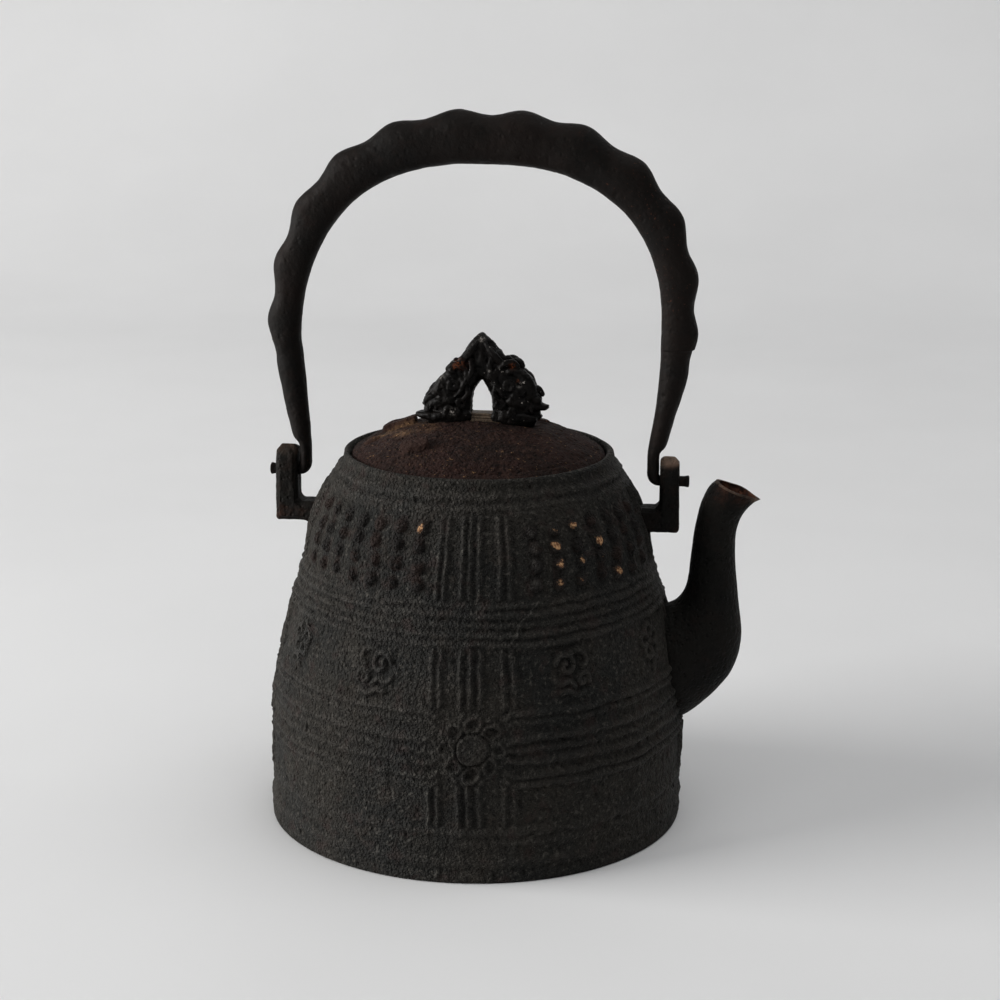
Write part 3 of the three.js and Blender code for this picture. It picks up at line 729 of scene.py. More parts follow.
def make_body():
    columns = 1080
    line, first, last = body_line()
    angle = np.linspace(-180, 180, columns, endpoint=False)[None] + 0 * line[:, :1]
    radius = line[:, :1] + 0 * angle
    height = line[:, 1:] + 0 * angle
    way = np.radians(angle + PATTERN_FRONT)
    place = np.stack([radius * np.cos(way), radius * np.sin(way), height], -1)
    wobble = [lumps(place, size, seed) for size, seed in ((16, 1), (14, 2), (9, 3), (3.4, 16), (3.1, 17))]
    proud = body_pattern(angle, height, radius, wobble)
    proud *= 0.8 + 0.34 * lumps(place, 8, 4) + 0.24 * lumps(place, 2.6, 14)
    golden, pale, dark = (np.zeros_like(radius) for _ in range(3))
    add_bosses(proud, golden, pale, dark, angle, height, radius, lumps(place, 1.6, 15))
    add_motifs(proud, angle, height, radius, wobble[2])
    crack = crest(np.radians(angle + 8 + 0.5 * wobble[1]) * radius, 0.3) * ease(height, 7.5, 4.5)
    scratch = body_scratch(angle, height, radius, wobble)
    sand = 0.30 * lumps(place, 17, 6) + 0.18 * lumps(place, 6, 7) + 0.12 * lumps(place, 2.6, 8)
    sand += 0.13 * lumps(place, 1.25, 9)
    pits = -0.4 * ease(lumps(place, 1.9, 10), 0.5, 0.8)
    # Painted shade: how far each place sits below the mean of its neighbours, to darken the hollows
    hollow_shade = np.clip((softened(proud, 5) - proud) * 1.5 - 0.08, 0, 1)
    rows = np.arange(len(line))[:, None]
    on_outside = (rows >= first) & (rows < last)
    on_rim = (rows >= last) & (rows < last + 6)
    fade = ease(height, 0.0, 2.0) * ease(height, RIM_HEIGHT - 0.2, RIM_HEIGHT - 3.5)
    shift = proud - 1.2 + sand + pits - 0.4 * crack + 0.25 * scratch
    shift = np.where(on_outside, shift * fade - 0.25 * (1 - fade), 0.07 * lumps(place, 5, 11))
    shift = np.where(on_rim, 0.12 * lumps(place, 4, 12) - 0.1, shift)
    # The bell leans a little towards the spout, most at its middle
    shift += 0.35 * np.cos(way) * (ease(height, 45, 75) - ease(height, 20, 4)) * on_outside
    radius = radius + np.minimum(shift, BASE_RADIUS - 0.05 - radius)
    rings = np.stack([radius * np.cos(way), radius * np.sin(way), height], -1)
    rings[last:last + 5, :, 2] += -0.12 + 0.12 * lumps(place[last:last + 5], 9, 13)
    middles = (rings[:-1] + np.roll(rings[:-1], -1, 1) + rings[1:] + np.roll(rings[1:], -1, 1)) / 4
    up = (middles[..., 2] - SPOUT_HOLE_HEIGHT) / SPOUT_HOLE_HALF_HIGH
    across = middles[..., 1] / SPOUT_HOLE_HALF_WIDE
    spout_hole = (up**2 + across**2 < 1) & (middles[..., 0] > 40)
    points, quads, fans = skin(rings, (0, 0, 0), (0, 0, FLOOR_THICKNESS), ~spout_hole)
    mesh = mesh_of("body_shell_cast", points, quads, fans)
    masks = {
        "crest": np.clip(proud, 0, 1) * on_outside,
        "golden": golden,
        "pale": np.maximum(pale, scratch),
        "dark": dark,
        "inside": np.broadcast_to(rows, radius.shape) >= last + 8,
        "hollow_shade": hollow_shade * on_outside,
    }
    # Each mask ends with its values at the two poles: under the foot, and on the floor inside
    paint(mesh, **{name: np.append(values.ravel(), (0, name == "inside")) for name, values in masks.items()})
    piece("body_shell_cast", mesh, "kettle", "sand_cast_iron", SAND_CAST, "body_shell")


make_body()

# ---------------------------------------------------------------- spout

NECK_INNER = POST_OUTER + 4.5
NECK_OUTER = NECK_INNER + 14
MOUTH_HIGH = SPOUT_HIGH[2]
MOUTH_LOW = MOUTH_HIGH - 5.3
ROOT_LOW = SPOUT_LOW[2]
ROOT_HIGH = 74.0
SPOUT_WALL = 2.8


def spout_rings(inset, columns, count):
    """Rings of the spout from inside the wall to the mouth, drawn in by an inset that thins at the lip."""
    low, high = bell_radius(ROOT_LOW), bell_radius(ROOT_HIGH)

    def up_the_throat(share):
        return high + (NECK_INNER - high) * share

    stations = [  # lower or outer edge, upper or inner edge, depth along Y
        (low - 7, ROOT_LOW + 1.4, high - 7, ROOT_HIGH - 2.8, 25.2),
        (low - 0.5, ROOT_LOW, high, ROOT_HIGH, 26.6),
        (NECK_OUTER - 7.5, ROOT_LOW + 6.8, up_the_throat(0.42), ROOT_HIGH + 2, 24.6),
        (NECK_OUTER + 0.3, ROOT_LOW + 17, up_the_throat(0.73), ROOT_HIGH + 6, 22),
        (NECK_OUTER + 3, ROOT_LOW + 28, NECK_INNER - 1.3, ROOT_HIGH + 10.6, 19.6),
        (NECK_OUTER + 1.9, ROOT_LOW + 39.5, NECK_INNER - 0.9, MOUTH_HIGH - 27.9, 17.2),
        (NECK_OUTER + 0.5, MOUTH_LOW - 25.3, NECK_INNER - 0.5, MOUTH_HIGH - 23.6, 15.4),
        (NECK_OUTER, MOUTH_LOW - 16.3, NECK_INNER + 0.1, MOUTH_HIGH - 17.8, 14.4),
        (NECK_OUTER + 0.6, MOUTH_LOW - 10.6, NECK_INNER + 0.9, MOUTH_HIGH - 13.1, 14.4),
        (NECK_OUTER + 2.4, MOUTH_LOW - 5.8, NECK_INNER + 2.4, MOUTH_HIGH - 7.1, 14.2),
        (NECK_OUTER + 5.2, MOUTH_LOW - 2.4, NECK_INNER + 4.6, MOUTH_HIGH - 2.4, 13.6),
        (NECK_OUTER + 7.8, MOUTH_LOW - 0.8, NECK_INNER + 6.8, MOUTH_HIGH - 0.1, 12.6),
    ]
    line = curve_through(stations, count)
    outer, inner, depth = line[:, :2], line[:, 2:4], line[:, 4]
    along = np.linspace(0, 1, count)
    beak = ease(along, 0.82, 1.0)
    wall = inset * (1 - 0.55 * ease(along, 0.88, 1.0))
    span = np.linalg.norm(outer - inner, axis=1, keepdims=True)
    draw = (outer - inner) / span * wall[:, None]
    outer, inner = outer - draw, inner + draw
    turn = round_turn(columns)
    across = np.cos(turn)[None]
    half = (depth / 2 - wall)[:, None]
    narrowed = 1 - 0.55 * beak[:, None] * np.clip(across, 0, 1) ** 1.6
    y = half * np.sin(turn)[None] * narrowed
    middle, reach = (outer + inner) / 2, (outer - inner) / 2
    x = middle[:, :1] + reach[:, :1] * across
    z = middle[:, 1:] + reach[:, 1:] * across
    return np.stack([x, y, z], -1), along


def make_spout():
    columns = 144
    outside, along = spout_rings(0, columns, 230)
    bore, _ = spout_rings(SPOUT_WALL, columns, 120)
    grown = 0.13 * lumps(outside, 9, 21) + 0.07 * lumps(outside, 3, 22) + 0.04 * lumps(outside, 1.3, 23)
    calm = (1 - 0.75 * ease(along, 0.93, 1))[:, None]
    outside = outside + away_from_middle(outside) * (grown * calm - 0.12)[..., None]
    # The lip rounds over from the outside into the bore
    lip_out, lip_in = outside[-1], bore[-1]
    rise = np.array([0.3, 0, 0.3])
    lip = np.stack(
        [lip_out * (1 - s) + lip_in * s + rise * math.sin(math.pi * s) * 0.55 for s in (0.18, 0.5, 0.82)]
    )
    dented = 0.35 * lumps(lip_out, 5, 24)[:, None] * np.array([0, 0, 1])
    outside[-1] += dented * 0.6
    lip = lip + dented[None]
    bore[-1] += dented
    rings = np.concatenate([outside, lip, bore[::-1]])
    rows = len(rings)
    index = np.arange(rows * columns).reshape(rows, columns)
    beside = np.roll(index, -1, axis=1)
    ahead, corner_ahead = np.roll(index, -1, axis=0), np.roll(beside, -1, axis=0)
    quads = np.stack([index, beside, corner_ahead, ahead], -1).reshape(-1, 4)
    points = rings.reshape(-1, 3)
    if volume(points, quads[:, [0, 1, 3]]) < 0:
        quads = quads[:, ::-1]
    mesh = mesh_of("spout_cast", points, quads)
    height, x = points[:, 2], points[:, 0]
    row = np.repeat(np.arange(rows), columns)
    inner = row >= len(outside) + 1
    near_lip = ease(height, MOUTH_LOW - 4, MOUTH_HIGH - 1)
    tip = ease(x, SPOUT_HIGH[0] - 4, SPOUT_HIGH[0] - 0.5) * ease(height, MOUTH_LOW - 3, MOUTH_LOW)
    lip_ring = (row >= len(outside) - 4) & (row < len(outside) + 4)
    rubbed = np.maximum(0.7 * tip, 0.25 * lip_ring * near_lip) * (1 - 0.8 * inner)
    rusty = np.where(inner, 0.9, 0.45 * near_lip * ease(lumps(points, 7, 25), -0.3, 0.5))
    paint(mesh, rubbed=rubbed, rusty=rusty)
    piece("spout_cast", mesh, "kettle", "smooth_cast_iron", SMOOTH_CAST, "spout")


make_spout()

# ---------------------------------------------------------------- lugs


def prism(outline, low, high):
    """An outline in X and Z as a solid between two places along Y: points and triangles."""
    n = len(outline)
    outline = np.asarray(outline, float)
    ends = [np.stack([outline[:, 0], np.full(n, y), outline[:, 1]], -1) for y in (low, high)]
    centre = outline.mean(0)
    points = np.vstack([*ends, [centre[0], low, centre[1]], [centre[0], high, centre[1]]])
    i = np.arange(n)
    j = (i + 1) % n
    first, last = np.full(n, 2 * n), np.full(n, 2 * n + 1)
    corners = ((i, j, j + n), (i, j + n, i + n), (first, j, i), (last, i + n, j + n))
    triangles = np.concatenate([np.stack(three, -1) for three in corners])
    inwards = volume(points - [centre[0], 0, centre[1]], triangles) <= 0
    return points, triangles[:, ::-1] if inwards else triangles


def rod(start, end, radius, columns=32):
    """A straight rod between two points: points and triangles."""
    start, end = np.array(start, float), np.array(end, float)
    way = (end - start) / np.linalg.norm(end - start)
    side = np.cross(way, (0.3, 0.8, 0.52))
    side /= np.linalg.norm(side)
    other = np.cross(way, side)
    turn = round_turn(columns)[:, None]
    ring = radius * (np.cos(turn) * side + np.sin(turn) * other)
    points, quads, fans = skin(np.stack([ring + start, ring + end]), start, end)
    return points, np.concatenate([halved(quads), fans])


def together(*forms):
    """Several forms of points and triangles as one."""
    start = np.cumsum([0, *(len(points) for points, _ in forms[:-1])])
    return (
        np.vstack([points for points, _ in forms]),
        np.vstack([triangles + first for (_, triangles), first in zip(forms, start)]),
    )


def lug_mesh(name, side):
    """One lug: an arm out of the wall, bent up into a post with bevelled corners and a round head."""
    bevel, taper, voxel = 1.35, 0.35, 0.32
    outer, top = (POST_OUTER + 0.7, LUG_TOP + 0.5) if side < 0 else (POST_OUTER - 0.3, LUG_TOP)
    root = bell_radius(ARM_HEIGHT) - WALL + 0.4
    low, high = ARM_HEIGHT - LUG_BAR / 2, ARM_HEIGHT + LUG_BAR / 2 + (-0.4 if side < 0 else 1.1)
    layers = []
    for depth, draw in ((LUG_DEPTH, bevel), (LUG_DEPTH - bevel, 0.38 * bevel), (LUG_DEPTH - 2 * bevel, 0)):
        outline = [
            (root, low + draw),
            (outer - draw - 0.6, low + draw),
            (outer - draw, low + draw + 0.9),
            (outer - draw - taper, top - draw - 1.8),
            (outer - draw - 1.9, top - draw),
            (POST_INNER + draw + 1.2, top - draw),
            (POST_INNER + draw, top - draw - 1.2),
            (POST_INNER + draw, high - draw + 1.4),
            (POST_INNER + draw - 1.4, high - draw),
            (root, high - draw),
        ]
        layers.append(prism(outline, -depth / 2, depth / 2))
    reach, half_deep = 6.4, 3.6
    gusset = [(root, low - 3.4), (root + reach, low + 1), (root + reach, high - 1), (root, high - 0.4)]
    points, triangles = together(*layers, prism(gusset, -half_deep, half_deep))
    bore = rod((POST_INNER - 4, 0, PIVOT_HEIGHT), (POST_OUTER + 4, 0, PIVOT_HEIGHT), BORE_RADIUS + 0.05)
    cutter_mesh = mesh_of(name + "_bore", bore[0] * (side, 1, 1), [], bore[1][:, ::side])
    cutter = added(name + "_bore", cutter_mesh)
    mesh = fused(name, points * (side, 1, 1), triangles[:, ::side], voxel, 5, cutter)
    bpy.data.objects.remove(cutter)
    co = points_of(mesh)
    # The head is rounded over across its depth
    over = np.clip(co[:, 2] - (LUG_TOP - LUG_DEPTH / 2), 0, None)
    narrow = np.sqrt(np.clip(1 - (over / (LUG_DEPTH / 2 + 0.35)) ** 2, 0.02, 1))
    co[:, 1] *= np.where(over > 0, narrow, 1)
    move_to(mesh, co)
    roughen(mesh, (5, 0.13, 31 + side), (1.8, 0.07, 33 + side), (0.8, 0.03, 35 + side))
    co = points_of(mesh)
    # The post's inner face stays clear of the bail
    clear_of = side * np.maximum(side * co[:, 0], POST_INNER + 0.02)
    co[:, 0] = np.where(co[:, 2] > high + 2.5, clear_of, co[:, 0])
    move_to(mesh, co)
    top = ease(co[:, 2], LUG_TOP - 3.5, LUG_TOP - 0.5)
    rusty = 0.03 + 0.2 * ease(lumps(co, 5, 37), 0.1, 0.6)
    top_rubbed, top_rusty = (0.5, 0.55) if side > 0 else (0.1, 0.2)
    paint(mesh, rubbed=top_rubbed * top, rusty=np.maximum(rusty, top_rusty * top))
    return mesh


for side, node in ((-1, "lug_left"), (1, "lug_right")):
    piece(node + "_cast", lug_mesh(node + "_cast", side), "kettle", "smooth_cast_iron", SMOOTH_CAST, node)

# ---------------------------------------------------------------- bail

EYE_THICKNESS = 4.0
EYE_DEPTH = 7.4
BEND_RADIUS = EYE_THICKNESS / 2 + 0.3
LEG_INNER = POST_INNER - 0.3 - EYE_THICKNESS
ARCH_MIDDLE = np.array([0.4, PIVOT_HEIGHT + 43.7])
ARCH_HALF = LEG_INNER + 3.1
ARCH_SQUARENESS = 2.45
CROWN_THICKNESS, SHOULDER_THICKNESS = 16.9, 10.6
CROWN_DEPTH, SHOULDER_DEPTH = 14.0, 10.0
SCALLOP_PITCH = math.radians(15.3)
SCALLOP_DEPTH = 0.95
ARCH_HEIGHT = BAIL_HIGH[2] - ARCH_MIDDLE[1] - CROWN_THICKNESS - 0.8


def arch_line(count):
    """The arch from left to right: inner edge, outer edge, depth and scallop at each station."""
    angle = np.linspace(math.pi, 0, count)
    crown = np.sin(np.clip(angle, 0, math.pi)) ** 1.5
    across = (np.abs(np.cos(angle)) / ARCH_HALF) ** ARCH_SQUARENESS
    up = (np.abs(np.sin(angle)) / ARCH_HEIGHT) ** ARCH_SQUARENESS
    reach = (across + up) ** (-1 / ARCH_SQUARENESS)
    way = np.stack([np.cos(angle), np.sin(angle)], -1)
    thickness = SHOULDER_THICKNESS + (CROWN_THICKNESS - SHOULDER_THICKNESS) * crown
    depth = SHOULDER_DEPTH + (CROWN_DEPTH - SHOULDER_DEPTH) * crown
    slip = math.radians(2) * ease(angle, 1.95, 1.3)
    wave = -np.cos((angle + slip - math.pi / 2) * 2 * math.pi / SCALLOP_PITCH)
    inner = ARCH_MIDDLE + way * reach[:, None]
    inner[:, 0] += 1.5 * ease(np.sin(angle), 0, 0.6)
    thickness += 0.7 * ease(angle, 1.6, 1.1) - 0.3 * ease(angle, 1.7, 2.2) * ease(angle, 2.6, 2.2)
    return inner, inner + way * thickness[:, None], depth, wave * SCALLOP_DEPTH


def leg_scallop(height):
    """The arch's scallops, carried on down a leg at the same pitch."""
    angle = math.pi / 2 + (ARCH_MIDDLE[1] - height) / (ARCH_HALF + SHOULDER_THICKNESS)
    return -np.cos(angle * 2 * math.pi / SCALLOP_PITCH) * SCALLOP_DEPTH


def leg_line(side):
    """One leg from the top down, round its bend and out along its peg."""
    # Edges beyond the leg's inner face, which differ a little from side to side
    if side > 0:
        upper = ((3.1, 12.9), (2.6, 11.1), (1.7, 8.9), (0.8, 7.4))
    else:
        upper = ((2.4, 12.0), (1.6, 10.4), (0.9, 8.9), (0.4, 7.4))
    edges = (*upper, (0.2, 6.1), (0, EYE_THICKNESS + 0.1), (0, EYE_THICKNESS))
    stations = (  # height above the lug, depth, and share of the arch's lean
        (30, 9.4, 1), (22, 8.8, 0.7), (14, 8.4, 0.5), (8, 8, 0.3), (3.6, 7.7, 0.1), (0.8, EYE_DEPTH, 0),
        (PIVOT_HEIGHT + BEND_RADIUS + 1.5 - LUG_TOP, EYE_DEPTH, 0),
    )
    rows = []
    for (inner, outer), (above, depth, lean) in zip(edges, stations):
        shift = side * lean * ARCH_MIDDLE[0]
        height = LUG_TOP + above
        rows.append((LEG_INNER + inner + shift, height, LEG_INNER + outer + shift, height, depth))
    bend_x = LEG_INNER + EYE_THICKNESS / 2 + BEND_RADIUS
    bend_z = PIVOT_HEIGHT + BEND_RADIUS
    for share in (0, 0.25, 0.5, 0.75, 1):
        angle = math.pi + share * math.pi / 2
        half = EYE_THICKNESS / 2 + (PEG_RADIUS - EYE_THICKNESS / 2) * share
        depth = EYE_DEPTH + (2 * PEG_RADIUS - EYE_DEPTH) * share**1.5
        row = []
        for reach in (BEND_RADIUS + half, BEND_RADIUS - half):
            row += [bend_x + reach * math.cos(angle), bend_z + reach * math.sin(angle)]
        rows.append((*row, depth))
    peg = ((POST_INNER + 2, 0), (POST_OUTER + 0.4, 0), (POST_OUTER + 1.6, 0.12), (POST_OUTER + 2.4, 0.2))
    for x, grow in peg:
        low, high = PIVOT_HEIGHT - PEG_RADIUS - grow, PIVOT_HEIGHT + PEG_RADIUS + grow
        rows.append((x, low, x, high, 2 * (PEG_RADIUS + grow)))
    tip, low, high = POST_OUTER + 2.7, PIVOT_HEIGHT - PEG_RADIUS + 0.3, PIVOT_HEIGHT + PEG_RADIUS - 0.3
    rows.append((tip, low, tip, high, 2.9))
    return np.array(rows)


def make_bail():
    columns = 72
    inner, outer, depth, wave = arch_line(760)
    arch = np.column_stack([inner, outer, depth])
    left, right = leg_line(-1), leg_line(1)
    left[:, [0, 2]] *= -1
    right_line = curve_through([arch[-12], arch[-2], *right], 230)[12:]
    left_line = curve_through([arch[11], arch[1], *left], 230)[12:]
    line = np.vstack([left_line[::-1], arch[2:-2], right_line])
    waves = [leg_scallop(left_line[::-1, 1]), wave[2:-2], leg_scallop(right_line[:, 1])]
    scallop = np.concatenate(waves) * ease(line[:, 1], PIVOT_HEIGHT + 26, PIVOT_HEIGHT + 50)
    middle, reach = (line[:, :2] + line[:, 2:4]) / 2, (line[:, 2:4] - line[:, :2]) / 2
    turn = round_turn(columns)
    in_arch = ease(line[:, 1], PIVOT_HEIGHT + 30, PIVOT_HEIGHT + 60)[:, None]
    squareness = 2 + 0.25 * in_arch
    across = signed_power(np.cos(turn)[None], 2 / squareness)
    sideways = signed_power(np.sin(turn)[None], 2 / squareness)
    size = np.linalg.norm(reach, axis=1, keepdims=True)
    stretch = across + scallop[:, None] / size * ease(across, -0.35, 1.0) * np.clip(across, 0, 1) ** 0.5
    x = middle[:, :1] + reach[:, :1] * stretch
    z = middle[:, 1:] + reach[:, 1:] * stretch
    y = line[:, 4:5] / 2 * sideways * (1 + 0.02 * scallop[:, None]) + 0 * x
    rings = np.stack([x, y, z], -1)
    calm = ease(rings[..., 2], LUG_TOP - 2, LUG_TOP + 12)
    dents = 0.22 * lumps(rings, 13, 41) + 0.1 * lumps(rings, 5, 42) + 0.05 * lumps(rings, 1.7, 43)
    pits = -0.2 * ease(lumps(rings, 2.4, 44), 0.66, 0.88)
    rings = rings + away_from_middle(rings) * (calm * (dents + pits - 0.12))[..., None]
    points, quads, fans = skin(rings)
    mesh = mesh_of("bail_forged", points, quads, fans)
    right_shoulder = ease(points[:, 0], 25, 55) * ease(points[:, 2], PIVOT_HEIGHT + 40, PIVOT_HEIGHT + 70)
    hinge = ease(points[:, 2], LUG_TOP + 6, LUG_TOP - 4)
    paint(mesh, rusty=np.clip(0.12 + 0.9 * right_shoulder + 0.8 * hinge, 0, 1))
    piece("bail_forged", mesh, "bail", "forged_iron", FORGED, "bail")


make_bail()

# ---------------------------------------------------------------- lid


def dome_height(reach):
    return DOME_CENTRE + np.sqrt(DOME_RADIUS**2 - np.clip(reach, 0, DOME_RADIUS) ** 2)


# Low raised scabs on the lid: across, along, half sizes, turn in degrees and height
SCABS = (
    (-17.5, -24.5, 4.2, 3.3, 20, 2.3),
    (-27.0, 5.0, 5.8, 4.0, 8, 2.4),
    (-35.0, -6.0, 2.2, 1.8, 40, 0.9),
    (19, 14, 3.2, 2.4, 50, 0.7),
)


def make_lid():
    columns = 540
    reach = np.linspace(2, LID_RADIUS - 1.0, 150)
    top = np.stack([reach, dome_height(reach)], -1)[::-1]
    collar_outer, collar_inner = MOUTH_RADIUS - 0.4, MOUTH_RADIUS - 3.4
    under_reach = np.linspace(2, collar_inner - 1.2, 24)
    under = np.stack([under_reach, dome_height(under_reach) - 3.0], -1)
    edge = [
        (collar_inner, dome_height(collar_inner) - 4.4),
        *corner(collar_inner, COLLAR_BOTTOM, (0, 0.8), (0.6, 0.05)),
        *corner(collar_outer, COLLAR_BOTTOM, (-0.6, 0.05), (0, 0.8)),
        *corner(collar_outer, LID_BOTTOM, (0, -0.4), (0.4, 0.02)),
        *corner(LID_RADIUS, LID_BOTTOM, (-1.0, 0.02), (-0.15, 0.7)),
        *corner(LID_RADIUS, LID_EDGE_TOP, (-0.1, -1.0), (-0.4, -0.15)),
    ]
    line = np.vstack([under, edge, top])
    on_top = (np.arange(len(line)) >= len(under) + len(edge))[:, None]
    way = round_turn(columns)[None]
    radius = line[:, :1] + 0 * way
    height = line[:, 1:] + 0 * way
    place = np.stack([radius * np.cos(way), radius * np.sin(way), height], -1)
    x, y = place[..., 0], place[..., 1]
    rise = 0.24 * lumps(place, 15, 51) + 0.22 * lumps(place, 5, 52) + 0.17 * lumps(place, 2, 53)
    rise += 0.12 * lumps(place, 1.1, 54) - 0.35 * ease(lumps(place, 2.4, 55), 0.55, 0.85)
    rise += 0.45 * crest(radius - 31, 11)
    rise -= 0.28 * crest(radius - (LID_RADIUS - 3.4), 0.55)
    rise += 0.22 * crest(radius - 31, 1.2) * ease(lumps(place, 12, 56), -0.2, 0.5)
    scabs = np.zeros_like(radius)
    ragged = 0.07 * lumps(place, 3, 57) + 0.04 * lumps(place, 1.3, 58)
    for across, along, long, wide, turn, proud in SCABS:
        c, s = math.cos(math.radians(turn)), math.sin(math.radians(turn))
        u, v = (x - across) * c + (y - along) * s, (y - along) * c - (x - across) * s
        square = (np.abs(u / long) ** 5 + np.abs((v + 0.25 * u) / wide) ** 5) ** 0.2 + ragged
        scabs = np.maximum(scabs, proud * ease(square, 1.05, 0.94) * (0.86 + 0.14 * u / long))
    rise = np.where(on_top, rise + scabs - 0.12, 0)
    fade = ease(radius, LID_RADIUS - 0.5, LID_RADIUS - 2.5)
    place[..., 2] += rise * fade
    place[..., 2] = np.minimum(place[..., 2], DOME_TOP - 0.02)
    points, quads, fans = skin(place, (0, 0, DOME_TOP - 3.0), (0, 0, DOME_TOP - 0.1))
    mesh = mesh_of("lid_cast", points, quads, fans)
    rust_side = ease(np.hypot(points[:, 0] + 25, points[:, 1] + 8), 15, 4)
    golden = 0.75 * rust_side * ease(lumps(points, 7, 59), -0.3, 0.5)
    crests = np.append(np.clip(scabs, 0, 1).ravel(), (0, 0))
    paint(mesh, golden=golden, crest=crests)
    piece("lid_cast", mesh, "lid", "lid_iron", LID_IRON, "lid")


make_lid()

# ---------------------------------------------------------------- knob

KNOB_MIDDLE = (SEAT_LOW[0] + SEAT_HIGH[0]) / 2
KNOB_TOP = KNOB_HIGH[2]


def ball(count_round=12, count_up=8):
    """A unit ball: points and triangles."""
    up = np.linspace(0, math.pi, count_up + 1)[1:-1][:, None]
    way = round_turn(count_round)[None]
    rings = np.stack([np.sin(up) * np.cos(way), np.sin(up) * np.sin(way), np.cos(up) + 0 * way], -1)
    points, quads, fans = skin(rings, (0, 0, 1), (0, 0, -1))
    return points, np.concatenate([halved(quads), fans])


BALL = ball()


def bead(centre, radii):
    return BALL[0] * np.asarray(radii) + np.asarray(centre), BALL[1]


def lock(path, spacing=0.45):
    """A tapering strand through points of (x, y, z, radius), as a string of beads."""
    smooth = curve_through(path, 40 * len(path))
    length = np.concatenate([[0], np.cumsum(np.linalg.norm(np.diff(smooth[:, :3], axis=0), axis=1))])
    beads = []
    at = 0.0
    while at <= length[-1]:
        x, y, z, r = (np.interp(at, length, smooth[:, k]) for k in range(4))
        beads.append(bead((x, y, z), (r, r, r)))
        at += max(spacing * r, 0.2)
    return beads


def curl(x, y, z, size, thickness, hand, start):
    """A flat spiral lock on one face of the knob."""
    count = 14
    turn = np.linspace(start, start + hand * 3.4 * math.pi, count)
    reach = np.linspace(size, 0.25 * size, count)
    thick = np.linspace(thickness, 0.7 * thickness, count)
    path = [x + reach * np.cos(turn), np.full(count, y), z + reach * np.sin(turn), thick]
    return lock(np.stack(path, -1), 0.8)


